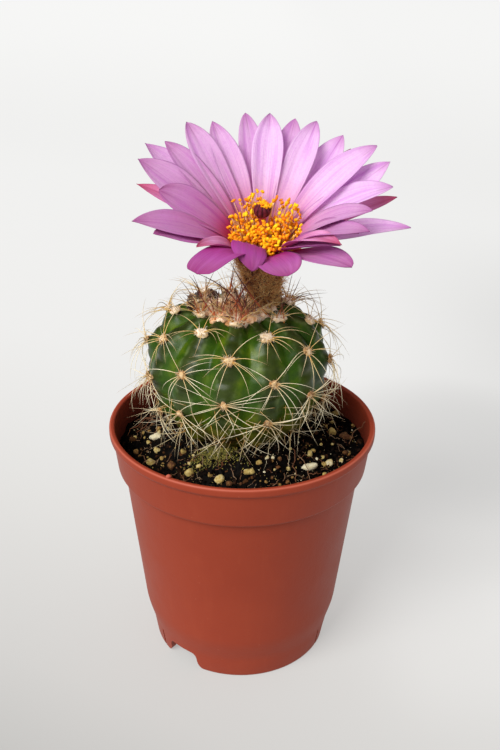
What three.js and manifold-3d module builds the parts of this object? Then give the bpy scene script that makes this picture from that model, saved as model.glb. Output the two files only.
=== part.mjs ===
// A small round cactus in flower, standing in a plastic nursery pot.
// Millimetres, +Z up, front towards -Y. Everything is laid out about the pot's own axis, and
// the last lines move it so that the origin lies on the ground under the middle of the whole.
import * as THREE from "three";
import { mergeVertices } from "three/addons/utils/BufferGeometryUtils.js";
import Module from "manifold-3d";

const wasm = await Module();
wasm.setup();

const GAP = 0.3; // clearance between pieces that touch
const DEG = Math.PI / 180;
const GOLDEN_ANGLE = 137.5;

// Pot: outside radii and heights
const POT_HEIGHT = 62;
const LIP_RADIUS = 32.5;
const LIP_DEPTH = 2.4;
const COLLAR_TOP_RADIUS = 31.7;
const COLLAR_BOTTOM_RADIUS = 30.7;
const COLLAR_DEPTH = 10.9;
const WALL_TOP_RADIUS = 29.2;
const WALL_BOTTOM_RADIUS = 24.9;
const WALL_BOTTOM_HEIGHT = 10.4;
const FOOT_TOP_RADIUS = 23.8;
const FOOT_TOP_HEIGHT = 8.2;
const FOOT_RADIUS = 22.6;
const POT_WALL = 1.1;
const FLOOR_TOP = 4.7;
const FLOOR_THICKNESS = 1.2;
const POT_SIDES = 48;
const NOTCH_COUNT = 3;
const FIRST_NOTCH_AZIMUTH = -39.5; // degrees from the front, towards +X
const NOTCH_TOP_HALF = 4.4;
const NOTCH_FOOT_HALF = 6.6;
const NOTCH_HEIGHT = 5;
const NOTCH_DEPTH = 9;
const SLIT_AZIMUTH_STEP = -20;
const SLIT_WIDTH = 0.6;
const DRAIN_RADIUS = 3;
const DRAIN_RING_RADIUS = 15.5;

// Soil
const SOIL_EDGE_HEIGHT = 55.5;
const SOIL_MIDDLE_HEIGHT = 61.2;
const SOIL_BUMP = 0.5;
const SOIL_SIDES = 40;
const SOIL_RINGS = 5;
const GRIT_COUNT = 26;
const GRIT_RADIUS = 1.25;
const GRIT_FROM = 19; // distances from the pot's axis
const GRIT_TO = 27.5;

// Cactus body: a flattened globe with ribs, set a little off the pot's axis
const BODY_X = -1.2;
const WAIST_RADIUS = 20.7;
const WAIST_HEIGHT = 78;
const CROWN_RISE = 12.6;
const CROWN_FLATNESS = 0.47;
const ROOT_DROP = 26;
const ROOT_TAPER = 1.7;
const DIMPLE_DEPTH = 2.2;
const DIMPLE_RADIUS = 5;
const RIB_COUNT = 13;
const RIB_RISE = 1.3;
const RIB_SWELL = 0.55;
const FIRST_RIB_AZIMUTH = 1.1; // degrees from the front at the apex, towards +X
const RIB_TWIST = -0.3; // degrees of azimuth for each millimetre down the rib
const AREOLE_STEP = 9.2; // distance down a rib from one areole to the next
const FIRST_AREOLE = 11; // distance of the first whole areole from the apex
const AREOLE_STAGGER = 7 / RIB_COUNT; // share of a step that each rib lags the last
const SAMPLES_PER_RIB = 4;
const BODY_RINGS = 15;
const SPINES_PER_AREOLE = 7;
const SPINE_LENGTH = 10.5;
const SPINE_LEAN = 13; // least angle in degrees that a radial spine stands off the skin
const YOUNG_WOOL_RADIUS = 1.35;
const OLD_WOOL_RADIUS = 0.85;
const CUSHION_HEIGHT = 0.9;
const CUSHION_ROOT = 1.2;
const CROWN_WOOL_RADIUS = 7.4;
const CROWN_WOOL_HEIGHT = 2.2;
const CROWN_SPINES = 14;
const CROWN_SPINE_LENGTH = 10;
const CROWN_SPINE_RADIUS = 0.36;

// Flower: its own frame sits at the petals' ring, with the axis leaning to the front
const FLOWER_BASE = new THREE.Vector3(3.8, -2, 105.4);
const FLOWER_LEAN = 20;
const TUBE_LENGTH = 17.4;
const TUBE_FOOT_RADIUS = 3.6;
const TUBE_TOP_RADIUS = 5;
const TUBE_TOP = -1;
const TUBE_SCALES = 26;
const TUBE_SCALE_LENGTH = 2.1;
// Each petal: azimuth of its tip, rise of its tip above the ring in degrees, reach of its tip
const INNER_PETALS = [
  [177, 36, 32.5], [205, 33, 32.5], [230, 31, 32.3], [255, 36, 33], [322, 35, 26], [356, 33, 25],
  [36, 35, 30], [63, 38, 31], [98, 28, 31.3], [122, 32, 33.5], [154, 34, 33],
];
const OUTER_PETALS = [
  [189, 34, 33], [219, 36, 33.5], [237, 29, 35], [290, 28, 33], [337, 28, 33], [10, 29, 31],
  [36, 28, 33], [50, 34, 32], [77, 23, 33.8], [113, 29, 33.8], [140, 30, 33], [165, 34, 32.8],
];
const SEPALS = [
  [292, 25, 28.5], [245, 14, 32.8], [139, 21, 33.8], [112, 12, 33], [205, 18, 30], [172, 16, 31],
];
const WHORLS = [
  { petals: INNER_PETALS, halfWidth: 3.6, cup: 1.1, bend: 26, foot: 0.9 },
  { petals: OUTER_PETALS, halfWidth: 3.8, cup: 1, bend: 26, foot: 0.3 },
  { petals: SEPALS, halfWidth: 2.4, cup: 0.6, bend: 18, foot: -0.2 },
];
const PETAL_ROOT_RADIUS = 4.2;
const PETAL_CLAW = 0.36; // share of the full width at the root
const PETAL_WIDEST = 0.66; // share of the length
const PETAL_THICKNESS = 0.7;
const PETAL_CELLS = 4;
const RING_INNER_RADIUS = 2.6;
const STAMEN_RINGS = [
  { count: 8, radius: 3.6, height: 6.2 },
  { count: 14, radius: 6, height: 7 },
  { count: 20, radius: 8.5, height: 8.2 },
];
const BUNDLE_RADIUS = 5;
const BUNDLE_HEIGHT = 4.4;
const FILAMENT_RADIUS = 0.26;
const ANTHER_RADIUS = 0.85;
const STYLE_RADIUS = 0.75;
const STIGMA_RADIUS = 1.9;
const STIGMA_HEIGHT = 11.2;
const STIGMA_LOBES = 10;

const COLOURS = {
  pot: 0x9c4631,
  soil: 0x2a211b,
  stem: 0x2f6b22,
  tube: 0x8a6a48,
  petals: 0xcf6fc4,
  stamens: 0xf5ad12,
  pistil: 0x4a1030,
};

// A repeatable stream of numbers from 0 to 1.
function seeded(seed) {
  let state = seed;
  return () => {
    state = (state * 1664525 + 1013904223) % 4294967296;
    return state / 4294967296;
  };
}

// A closed geometry as a solid that can be joined and cut.
function solidOf(geometry) {
  const bare = new THREE.BufferGeometry();
  bare.setAttribute("position", geometry.getAttribute("position").clone());
  if (geometry.index) bare.setIndex(geometry.index.clone());
  const merged = mergeVertices(bare, 1e-4);
  const corners = merged.index.array;
  const kept = [];
  for (let i = 0; i < corners.length; i += 3) {
    const [a, b, c] = [corners[i], corners[i + 1], corners[i + 2]];
    if (a !== b && b !== c && c !== a) kept.push(a, b, c);
  }
  return new wasm.Manifold(
    new wasm.Mesh({
      numProp: 3,
      vertProperties: Float32Array.from(merged.attributes.position.array),
      triVerts: Uint32Array.from(kept),
    }),
  );
}

function geometryOf(solid) {
  const mesh = solid.getMesh();
  const positions = new Float32Array(mesh.numVert * 3);
  for (let i = 0; i < mesh.numVert; i++) {
    const start = i * mesh.numProp;
    positions.set(mesh.vertProperties.subarray(start, start + 3), i * 3);
  }
  const geometry = new THREE.BufferGeometry();
  geometry.setAttribute("position", new THREE.BufferAttribute(positions, 3));
  geometry.setIndex(new THREE.BufferAttribute(mesh.triVerts, 1));
  geometry.computeVertexNormals();
  return geometry;
}

// The largest body of a solid, without the scraps that a cut can leave.
function mainBody(solid) {
  return solid.decompose().sort((a, b) => b.volume() - a.volume())[0];
}

function joined(geometries) {
  return wasm.Manifold.union(geometries.map(solidOf));
}

// A profile of [radius, height] points turned round the Z axis.
function lathe(profile, sides) {
  const points = profile.map(([radius, height]) => new THREE.Vector2(radius, height));
  return new THREE.LatheGeometry(points, sides).rotateX(Math.PI / 2);
}

function azimuthVector(azimuth, radius, height) {
  const angle = azimuth * DEG;
  return new THREE.Vector3(radius * Math.sin(angle), -radius * Math.cos(angle), height);
}

// Turns a shape that points along +Z so that it points along a direction, and moves it.
function aimed(geometry, direction, position) {
  const up = new THREE.Vector3(0, 0, 1);
  const turn = new THREE.Quaternion().setFromUnitVectors(up, direction.clone().normalize());
  const matrix = new THREE.Matrix4().makeRotationFromQuaternion(turn);
  return geometry.applyMatrix4(matrix.setPosition(position));
}

// A three-sided needle from its root, which is sunk by rootDepth, to its tip.
function needle(root, direction, length, radius, rootDepth) {
  const whole = length + rootDepth;
  const cone = new THREE.ConeGeometry(radius, whole, 3, 1).rotateX(Math.PI / 2);
  cone.translate(0, 0, whole / 2 - rootDepth);
  return aimed(cone, direction, root);
}

function smooth(value) {
  const t = Math.min(1, Math.max(0, value));
  return t * t * (3 - 2 * t);
}

function potProfile() {
  const collarBottom = POT_HEIGHT - COLLAR_DEPTH;
  const lipBottom = POT_HEIGHT - LIP_DEPTH;
  const floorUnderside = FLOOR_TOP - FLOOR_THICKNESS;
  return [
    [0, floorUnderside],
    [FOOT_RADIUS - POT_WALL - 0.3, floorUnderside],
    [FOOT_RADIUS - POT_WALL - 0.5, 0],
    [FOOT_RADIUS, 0],
    [FOOT_TOP_RADIUS, FOOT_TOP_HEIGHT],
    [WALL_BOTTOM_RADIUS, WALL_BOTTOM_HEIGHT],
    [WALL_TOP_RADIUS, collarBottom - 0.5],
    [COLLAR_BOTTOM_RADIUS, collarBottom + 0.2],
    [COLLAR_TOP_RADIUS, lipBottom],
    [LIP_RADIUS - 0.1, lipBottom + 0.4],
    [LIP_RADIUS, POT_HEIGHT - 0.7],
    [LIP_RADIUS - 0.5, POT_HEIGHT],
    [LIP_RADIUS - 1.1, POT_HEIGHT],
    [LIP_RADIUS - 1.4, POT_HEIGHT - 0.5],
    [COLLAR_BOTTOM_RADIUS - POT_WALL, collarBottom + 0.2],
    [WALL_TOP_RADIUS - POT_WALL, collarBottom - 1],
    [WALL_BOTTOM_RADIUS - POT_WALL, WALL_BOTTOM_HEIGHT],
    [FOOT_RADIUS - POT_WALL + 0.2, FLOOR_TOP],
    [0, FLOOR_TOP],
  ];
}

// The radius of the pot's inside wall at a height above the floor.
function potInsideRadius(height) {
  const wall = potProfile().slice(-6, -1);
  for (let i = 1; i < wall.length; i++) {
    const [[upperRadius, upper], [lowerRadius, lower]] = [wall[i - 1], wall[i]];
    if (height <= upper && height >= lower) {
      return THREE.MathUtils.mapLinear(height, lower, upper, lowerRadius, upperRadius);
    }
  }
  throw new Error("no inside wall at height " + height);
}

// The flared arch cut through the foot, standing in the XZ plane and pushed through along Y.
function notchCutter(azimuth) {
  const below = -1;
  const arch = new THREE.Shape();
  arch.moveTo(-NOTCH_FOOT_HALF, below);
  arch.lineTo(NOTCH_FOOT_HALF, below);
  arch.lineTo(NOTCH_FOOT_HALF, 0);
  arch.quadraticCurveTo(NOTCH_TOP_HALF, 0.6, NOTCH_TOP_HALF, NOTCH_HEIGHT - 1);
  arch.quadraticCurveTo(NOTCH_TOP_HALF, NOTCH_HEIGHT, NOTCH_TOP_HALF - 1, NOTCH_HEIGHT);
  arch.lineTo(1 - NOTCH_TOP_HALF, NOTCH_HEIGHT);
  arch.quadraticCurveTo(-NOTCH_TOP_HALF, NOTCH_HEIGHT, -NOTCH_TOP_HALF, NOTCH_HEIGHT - 1);
  arch.quadraticCurveTo(-NOTCH_TOP_HALF, 0.6, -NOTCH_FOOT_HALF, 0);
  const options = { depth: NOTCH_DEPTH, bevelEnabled: false, curveSegments: 4 };
  const block = new THREE.ExtrudeGeometry(arch, options).rotateX(Math.PI / 2);
  return block.translate(0, NOTCH_DEPTH / 2 - FOOT_RADIUS, 0).rotateZ(azimuth * DEG);
}

function slitCutter(azimuth) {
  const slit = new THREE.BoxGeometry(SLIT_WIDTH, 4 * POT_WALL, 2 * NOTCH_HEIGHT + 1);
  return slit.translate(0, -FOOT_RADIUS, 0).rotateZ(azimuth * DEG);
}

function drainCutter(azimuth) {
  const hole = new THREE.CylinderGeometry(DRAIN_RADIUS, DRAIN_RADIUS, 3 * FLOOR_THICKNESS, 12);
  hole.rotateX(Math.PI / 2);
  const { x, y } = azimuthVector(azimuth, DRAIN_RING_RADIUS, 0);
  return hole.translate(x, y, FLOOR_TOP - FLOOR_THICKNESS / 2);
}

function makePot() {
  let pot = solidOf(lathe(potProfile(), POT_SIDES));
  for (let i = 0; i < NOTCH_COUNT; i++) {
    const azimuth = FIRST_NOTCH_AZIMUTH + (i * 360) / NOTCH_COUNT;
    const slit = slitCutter(azimuth + SLIT_AZIMUTH_STEP);
    pot = pot.subtract(joined([notchCutter(azimuth), slit, drainCutter(azimuth)]));
  }
  return geometryOf(pot);
}

// The body's outline from the root (share 0) to the apex (share 1), evenly by length.
const meridian = (() => {
  const points = [];
  const steps = 120;
  for (let i = 0; i <= steps; i++) {
    const angle = (i / steps - 0.5) * Math.PI;
    const low = angle < 0;
    const taper = low ? ROOT_TAPER : CROWN_FLATNESS;
    const radius = WAIST_RADIUS * Math.max(0, Math.cos(angle)) ** taper;
    const dimple = DIMPLE_DEPTH * Math.exp(-((radius / DIMPLE_RADIUS) ** 2));
    const rise = (low ? ROOT_DROP : CROWN_RISE) * Math.sin(angle);
    points.push(new THREE.Vector2(radius, WAIST_HEIGHT + rise - (low ? 0 : dimple)));
  }
  const curve = new THREE.SplineCurve(points);
  curve.arcLengthDivisions = 600;
  return curve;
})();
const MERIDIAN_LENGTH = meridian.getLength();

// How far out the ribs push the skin, for an azimuth and a distance from the apex.
function ribRise(azimuth, distance) {
  const along = azimuth - FIRST_RIB_AZIMUTH - RIB_TWIST * distance;
  const pitch = 360 / RIB_COUNT;
  const crest = Math.abs(Math.cos((Math.PI * along) / pitch)) ** 0.9;
  const rib = Math.round(along / pitch);
  const phase = (distance - FIRST_AREOLE) / AREOLE_STEP - rib * AREOLE_STAGGER;
  const swell = 0.5 - 0.5 * Math.cos(2 * Math.PI * phase);
  const fade = smooth((distance - 3) / 8) * smooth((MERIDIAN_LENGTH - distance - 8) / 10);
  return fade * crest * (RIB_RISE + RIB_SWELL * swell) - fade * RIB_RISE * 0.45;
}

// A point on the skin, the way out of it, and the way uphill along it.
function skinAt(azimuth, distance) {
  const share = 1 - distance / MERIDIAN_LENGTH;
  const point = meridian.getPointAt(Math.min(1, Math.max(0, share)));
  const along = meridian.getTangentAt(Math.min(1, Math.max(0, share)));
  const outwards = azimuthVector(azimuth, 1, 0);
  const out = outwards.clone().multiplyScalar(along.y).setZ(-along.x).normalize();
  const uphill = outwards.clone().multiplyScalar(along.x).setZ(along.y).normalize();
  const position = outwards.multiplyScalar(point.x).setZ(point.y);
  position.addScaledVector(out, ribRise(azimuth, distance));
  position.x += BODY_X;
  return { position, out, uphill };
}

// The areoles outside the crown wool and above the soil, as azimuth and distance from the apex.
function areoles() {
  const found = [];
  for (let rib = 0; rib < RIB_COUNT; rib++) {
    const lag = (rib * AREOLE_STAGGER) % 1;
    for (let step = -1; step < 5; step++) {
      const distance = FIRST_AREOLE + AREOLE_STEP * (step + lag);
      const azimuth = FIRST_RIB_AZIMUTH + (rib * 360) / RIB_COUNT + RIB_TWIST * distance;
      const { position } = skinAt(azimuth, distance);
      const bare = distance > CROWN_WOOL_RADIUS + 1 && clearanceFromSoil(position) > 2.5;
      if (bare) found.push({ azimuth, distance });
    }
  }
  return found;
}

// Height of a point above the soil at its highest there.
function clearanceFromSoil(point) {
  return point.z - moundHeight(Math.hypot(point.x, point.y)) - 1.5 * SOIL_BUMP;
}

// Distance of a point from the flower tube's axis, less the tube's own radius.
function clearanceFromTube(point) {
  const axis = new THREE.Vector3(0, -Math.sin(FLOWER_LEAN * DEG), Math.cos(FLOWER_LEAN * DEG));
  const offset = point.clone().sub(FLOWER_BASE);
  return offset.addScaledVector(axis, -offset.dot(axis)).length() - TUBE_TOP_RADIUS;
}

function bodyGeometry() {
  const profile = [];
  for (let i = 0; i <= BODY_RINGS; i++) {
    const point = meridian.getPointAt(i / BODY_RINGS);
    profile.push([i % BODY_RINGS ? point.x : 0, point.y]);
  }
  const sides = RIB_COUNT * SAMPLES_PER_RIB;
  const body = lathe(profile, sides);
  const positions = body.getAttribute("position");
  for (let i = 0; i < positions.count; i++) {
    const ring = i % (BODY_RINGS + 1);
    const side = Math.floor(i / (BODY_RINGS + 1)) % sides;
    const distance = MERIDIAN_LENGTH * (1 - ring / BODY_RINGS);
    const start = FIRST_RIB_AZIMUTH + RIB_TWIST * distance;
    const { position } = skinAt(start + (side * 360) / sides, distance);
    if (ring === 0 || ring === BODY_RINGS) position.set(BODY_X, 0, profile[ring][1]);
    positions.setXYZ(i, position.x, position.y, position.z);
  }
  return body;
}

// A solid with a top, a bottom and a ring of corners that runs anticlockwise seen from the top.
function ringedSolid(top, bottom, ring) {
  const corners = [top, bottom, ...ring];
  const faces = [];
  for (let i = 0; i < ring.length; i++) {
    const [here, next] = [i + 2, ((i + 1) % ring.length) + 2];
    faces.push(0, here, next, 1, next, here);
  }
  const geometry = new THREE.BufferGeometry().setFromPoints(corners);
  geometry.setIndex(faces);
  return geometry;
}

// A woolly cushion with its spines spread round it like the rays of a star.
function areoleStar(areole, random) {
  const { position, out, uphill } = skinAt(areole.azimuth, areole.distance);
  const side = new THREE.Vector3().crossVectors(out, uphill);
  const age = smooth((areole.distance - 8) / 30);
  const woolRadius = THREE.MathUtils.lerp(YOUNG_WOOL_RADIUS, OLD_WOOL_RADIUS, age);
  const away = (bearing, lean, length) => {
    const flat = length * Math.cos(lean * DEG);
    const point = position.clone().addScaledVector(out, length * Math.sin(lean * DEG));
    point.addScaledVector(uphill, flat * Math.cos(bearing * DEG));
    return point.addScaledVector(side, flat * Math.sin(bearing * DEG));
  };
  const step = 360 / SPINES_PER_AREOLE;
  const turn = step * random();
  const ring = [];
  for (let i = 0; i < SPINES_PER_AREOLE; i++) {
    const bearing = turn + step * (i + 0.5 + 0.4 * (random() - 0.5));
    const lean = SPINE_LEAN + 9 * random();
    const length = SPINE_LENGTH * (0.85 + 0.3 * random());
    const tip = away(bearing, lean, length);
    const free = clearanceFromSoil(tip) > 1 && clearanceFromTube(tip) > 1.5;
    ring.push(free ? tip : away(bearing, 4, woolRadius * 1.2));
    ring.push(away(turn + step * (i + 1), 4, woolRadius));
  }
  const top = position.clone().addScaledVector(out, CUSHION_HEIGHT);
  const bottom = position.clone().addScaledVector(out, -CUSHION_ROOT);
  return ringedSolid(top, bottom, ring);
}

function crownSpines(random) {
  const spines = [];
  for (let i = 0; i < CROWN_SPINES; i++) {
    const azimuth = (i * 360) / CROWN_SPINES + 14 * random();
    const { position, out } = skinAt(azimuth, 3 + 4 * random());
    const spread = azimuthVector(azimuth, 0.35 + 0.7 * random(), 0);
    const direction = out.clone().add(spread).normalize();
    const length = CROWN_SPINE_LENGTH * (0.8 + 0.4 * random());
    const tip = position.clone().addScaledVector(direction, length);
    if (clearanceFromTube(tip) < 1 || clearanceFromTube(position) < 0) continue;
    spines.push(needle(position, direction, length, CROWN_SPINE_RADIUS, 1));
  }
  return spines;
}

function makeStem() {
  const random = seeded(9);
  const crown = skinAt(0, 0).position;
  const flatness = CROWN_WOOL_HEIGHT / CROWN_WOOL_RADIUS;
  const wool = new THREE.SphereGeometry(CROWN_WOOL_RADIUS, 14, 8).scale(1, flatness, 1);
  wool.rotateX(Math.PI / 2).translate(crown.x, crown.y, crown.z + 0.6);
  const pieces = [bodyGeometry(), wool];
  for (const areole of areoles()) pieces.push(areoleStar(areole, random));
  pieces.push(...crownSpines(random));
  const socketRadius = TUBE_FOOT_RADIUS + GAP;
  const socket = new THREE.CylinderGeometry(socketRadius, socketRadius, TUBE_LENGTH, 16);
  socket.rotateX(Math.PI / 2).translate(0, 0, TUBE_TOP - TUBE_LENGTH / 2 - GAP);
  socket.rotateX(FLOWER_LEAN * DEG).translate(FLOWER_BASE.x, FLOWER_BASE.y, FLOWER_BASE.z);
  return geometryOf(mainBody(joined(pieces).subtract(solidOf(socket))));
}

// Height of the soil without its roughness: it rises to the cactus.
function moundHeight(radius) {
  const rise = 1 - smooth((radius - 14) / 13);
  return THREE.MathUtils.lerp(SOIL_EDGE_HEIGHT, SOIL_MIDDLE_HEIGHT, rise);
}

function soilHeight(radius, azimuth) {
  const angle = azimuth * DEG;
  const waves = Math.sin(5 * angle + radius) + Math.sin(9 * angle - 1.7 * radius);
  return moundHeight(radius) + (SOIL_BUMP * (waves + Math.cos(13 * angle + 2.3 * radius))) / 2;
}

// The hole that the stem stands in, from its mouth down, as wide as the ribs and the gap need.
function holeProfile() {
  const mouthHeight = SOIL_MIDDLE_HEIGHT + 1.5 * SOIL_BUMP;
  let mouth = 0.1;
  while (meridian.getPointAt(mouth).y < mouthHeight) mouth += 0.01;
  const crest = FIRST_RIB_AZIMUTH;
  return [1, 0.75, 0.5].map((share) => {
    const point = meridian.getPointAt(mouth * share);
    const distance = MERIDIAN_LENGTH * (1 - mouth * share);
    const rise = Math.max(0, ribRise(crest + RIB_TWIST * distance, distance)) + RIB_SWELL;
    return [point.x + rise + GAP, point.y - GAP];
  });
}

function makeSoil() {
  const bottom = FLOOR_TOP + GAP;
  const wallTop = potInsideRadius(SOIL_EDGE_HEIGHT) - GAP;
  const collarFoot = POT_HEIGHT - COLLAR_DEPTH;
  const [mouth, ...hole] = holeProfile();
  const holeBottom = WAIST_HEIGHT - ROOT_DROP - GAP;
  const outside = [
    [0, bottom],
    [potInsideRadius(bottom) - GAP, bottom],
    [potInsideRadius(WALL_BOTTOM_HEIGHT) - GAP, WALL_BOTTOM_HEIGHT],
    [potInsideRadius(collarFoot - 1) - GAP, collarFoot - 1 + GAP],
    [potInsideRadius(collarFoot + 0.2) - GAP, collarFoot + 0.2 + GAP],
  ];
  const surface = [];
  for (let i = 0; i <= SOIL_RINGS; i++) {
    surface.push([THREE.MathUtils.lerp(wallTop, mouth[0], i / SOIL_RINGS), SOIL_EDGE_HEIGHT]);
  }
  const holeFloor = hole[hole.length - 1][0] - 3;
  const profile = [...outside, ...surface, ...hole, [holeFloor, holeBottom], [0, holeBottom]];
  const soil = lathe(profile, SOIL_SIDES);
  const positions = soil.getAttribute("position");
  for (let i = 0; i < positions.count; i++) {
    const ring = i % profile.length;
    const azimuth = (Math.floor(i / profile.length) * 360) / SOIL_SIDES;
    const point = azimuthVector(azimuth, ...profile[ring]);
    const inner = Math.min(1, Math.max(0, (ring - outside.length) / SOIL_RINGS));
    if (ring >= outside.length && ring < outside.length + surface.length) {
      point.z = soilHeight(profile[ring][0], azimuth % 360);
    }
    positions.setXYZ(i, point.x + BODY_X * inner, point.y, point.z);
  }
  return geometryOf(mainBody(wasm.Manifold.union([solidOf(soil), ...soilGrains()])));
}

// Pale grit that lies half sunk in the soil.
function soilGrains() {
  const random = seeded(21);
  const grains = [];
  for (let i = 0; i < GRIT_COUNT; i++) {
    const azimuth = (i * GOLDEN_ANGLE) % 360;
    const radius = THREE.MathUtils.lerp(GRIT_FROM, GRIT_TO, random());
    const size = GRIT_RADIUS * (0.65 + 0.7 * random());
    const grain = new THREE.IcosahedronGeometry(size, 0).scale(1, 0.7 + 0.3 * random(), 0.7);
    grain.rotateZ(6 * random());
    const place = azimuthVector(azimuth, radius, 0);
    place.z = soilHeight(radius, azimuth) + 0.25 * size;
    grains.push(solidOf(grain.translate(place.x, place.y, place.z)));
  }
  return grains;
}

function makeTube() {
  const foot = TUBE_TOP - TUBE_LENGTH + GAP;
  const profile = [
    [0, foot],
    [TUBE_FOOT_RADIUS, foot],
    [TUBE_FOOT_RADIUS, foot + 3],
    [TUBE_FOOT_RADIUS + 0.2, foot + 8],
    [TUBE_TOP_RADIUS - 0.4, TUBE_TOP - 2.5],
    [TUBE_TOP_RADIUS, TUBE_TOP],
    [0, TUBE_TOP],
  ];
  const pieces = [lathe(profile, 16)];
  for (let i = 0; i < TUBE_SCALES; i++) {
    const azimuth = (i * GOLDEN_ANGLE) % 360;
    const share = (i + 0.5) / TUBE_SCALES;
    const height = THREE.MathUtils.lerp(foot + 5, TUBE_TOP - 2.4, share);
    const root = azimuthVector(azimuth, TUBE_FOOT_RADIUS - 0.1 + 0.7 * share, height);
    const direction = azimuthVector(azimuth, 0.5, 1).normalize();
    pieces.push(needle(root, direction, TUBE_SCALE_LENGTH, 0.75, 0.6));
  }
  return geometryOf(mainBody(joined(pieces)));
}

// Half the petal's width at a share of its length: a narrow claw, widest past the middle.
function petalHalfWidth(share, halfWidth) {
  const claw = PETAL_CLAW + (1 - PETAL_CLAW) * smooth(share / PETAL_WIDEST);
  const pastWidest = Math.max(0, share - PETAL_WIDEST) / (1 - PETAL_WIDEST);
  return halfWidth * claw * Math.max(0.07, 1 - pastWidest ** 2.1);
}

// A cupped blade that bends outwards in an arc from the ring to its tip. Both faces are split alike.
function petal(whorl, [azimuth, rise, reach]) {
  const tip = new THREE.Vector2(reach * Math.cos(rise * DEG), reach * Math.sin(rise * DEG));
  const chord = tip.clone().sub(new THREE.Vector2(PETAL_ROOT_RADIUS, whorl.foot));
  const halfBend = (whorl.bend / 2) * DEG;
  const step = (chord.length() * halfBend) / Math.sin(halfBend) / PETAL_CELLS;
  const rows = [];
  let radius = PETAL_ROOT_RADIUS;
  let height = whorl.foot;
  for (let i = 0; i <= PETAL_CELLS; i++) {
    const share = i / PETAL_CELLS;
    const half = petalHalfWidth(share, whorl.halfWidth);
    const lift = whorl.cup * smooth(share * 3);
    const slope = chord.angle() + halfBend * (1 - 2 * share);
    const [downOut, downUp] = [Math.sin(slope) * PETAL_THICKNESS, -Math.cos(slope) * PETAL_THICKNESS];
    rows.push({ radius, height, half, lift, downOut, downUp });
    const stepSlope = slope - halfBend / PETAL_CELLS;
    radius += step * Math.cos(stepSlope);
    height += step * Math.sin(stepSlope);
  }
  const positions = [];
  for (const side of [0, 1]) {
    for (const row of rows) {
      for (const across of [-1, 0, 1]) {
        const raised = row.height + row.lift * across * across + side * row.downUp;
        positions.push(row.half * across, -(row.radius + side * row.downOut), raised);
      }
    }
  }
  const faces = [];
  const quad = (a, b, c, d) => faces.push(a, b, c, a, c, d);
  const lower = 3 * rows.length;
  for (let row = 0; row < PETAL_CELLS; row++) {
    for (const corner of [3 * row, 3 * row + 1]) {
      quad(corner, corner + 3, corner + 4, corner + 1);
      quad(corner + lower, corner + 1 + lower, corner + 4 + lower, corner + 3 + lower);
    }
  }
  const rim = rows.map((row, i) => 3 * i);
  rim.push(3 * PETAL_CELLS + 1, ...rows.map((row, i) => 3 * (PETAL_CELLS - i) + 2), 1);
  for (let i = 0; i < rim.length; i++) {
    const [here, next] = [rim[i], rim[(i + 1) % rim.length]];
    quad(here, here + lower, next + lower, next);
  }
  const blade = new THREE.BufferGeometry();
  blade.setAttribute("position", new THREE.Float32BufferAttribute(positions, 3));
  blade.setIndex(faces);
  return blade.rotateZ(azimuth * DEG);
}

function makePetals() {
  const ring = [
    [RING_INNER_RADIUS, TUBE_TOP + GAP],
    [TUBE_TOP_RADIUS, TUBE_TOP + GAP],
    [TUBE_TOP_RADIUS + 0.3, 0.2],
    [TUBE_TOP_RADIUS - 0.2, 1.6],
    [RING_INNER_RADIUS + 0.6, 1.2],
    [RING_INNER_RADIUS, TUBE_TOP + GAP],
  ];
  const pieces = [lathe(ring, 18)];
  for (const whorl of WHORLS) {
    for (const form of whorl.petals) pieces.push(petal(whorl, form));
  }
  return geometryOf(mainBody(joined(pieces)));
}

// The filaments stand close together at their feet and spread into rings of anthers.
function makeStamens() {
  const random = seeded(11);
  const inner = STYLE_RADIUS + GAP;
  const foot = TUBE_TOP + GAP;
  const outer = RING_INNER_RADIUS - GAP;
  const bundle = [
    [inner, foot],
    [outer, foot],
    [outer, 1],
    [BUNDLE_RADIUS, BUNDLE_HEIGHT],
    [inner, BUNDLE_HEIGHT - 0.8],
    [inner, foot],
  ];
  const pieces = [lathe(bundle, 18)];
  for (const ring of STAMEN_RINGS) {
    for (let i = 0; i < ring.count; i++) {
      const azimuth = ((i + random() * 0.5) * 360) / ring.count;
      const rootRadius = THREE.MathUtils.lerp(inner, BUNDLE_RADIUS, ring.radius / 11);
      const root = azimuthVector(azimuth, rootRadius, BUNDLE_HEIGHT - 0.9);
      const tip = azimuthVector(azimuth, ring.radius, ring.height + random() - 0.5);
      const along = tip.clone().sub(root);
      const length = along.length();
      const filament = new THREE.CylinderGeometry(FILAMENT_RADIUS, FILAMENT_RADIUS, length, 3);
      filament.rotateX(Math.PI / 2).translate(0, 0, length / 2);
      pieces.push(aimed(filament, along, root));
      const anther = new THREE.OctahedronGeometry(ANTHER_RADIUS).scale(0.8, 0.8, 1.2);
      anther.rotateZ(1 + random());
      pieces.push(aimed(anther, along, tip));
    }
  }
  return geometryOf(mainBody(joined(pieces)));
}

function makePistil() {
  const foot = TUBE_TOP + GAP;
  const styleLength = STIGMA_HEIGHT - foot;
  const style = new THREE.CylinderGeometry(STYLE_RADIUS, STYLE_RADIUS, styleLength, 8);
  style.rotateX(Math.PI / 2).translate(0, 0, foot + styleLength / 2);
  const stigma = new THREE.SphereGeometry(STIGMA_RADIUS, 2 * STIGMA_LOBES, 6);
  const positions = stigma.getAttribute("position");
  for (let i = 0; i < positions.count; i++) {
    const [x, y, z] = [positions.getX(i), positions.getY(i), positions.getZ(i)];
    const grooved = 0.93 + 0.07 * Math.cos(STIGMA_LOBES * Math.atan2(z, x));
    positions.setXYZ(i, x * grooved, y * 0.92, z * grooved);
  }
  stigma.rotateX(Math.PI / 2).translate(0, 0, STIGMA_HEIGHT);
  return geometryOf(joined([style, stigma]));
}

function meshOf(name, geometry, colour, roughness) {
  const material = new THREE.MeshStandardMaterial({ color: colour, roughness, metalness: 0 });
  const mesh = new THREE.Mesh(geometry, material);
  mesh.name = name;
  return mesh;
}

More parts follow.
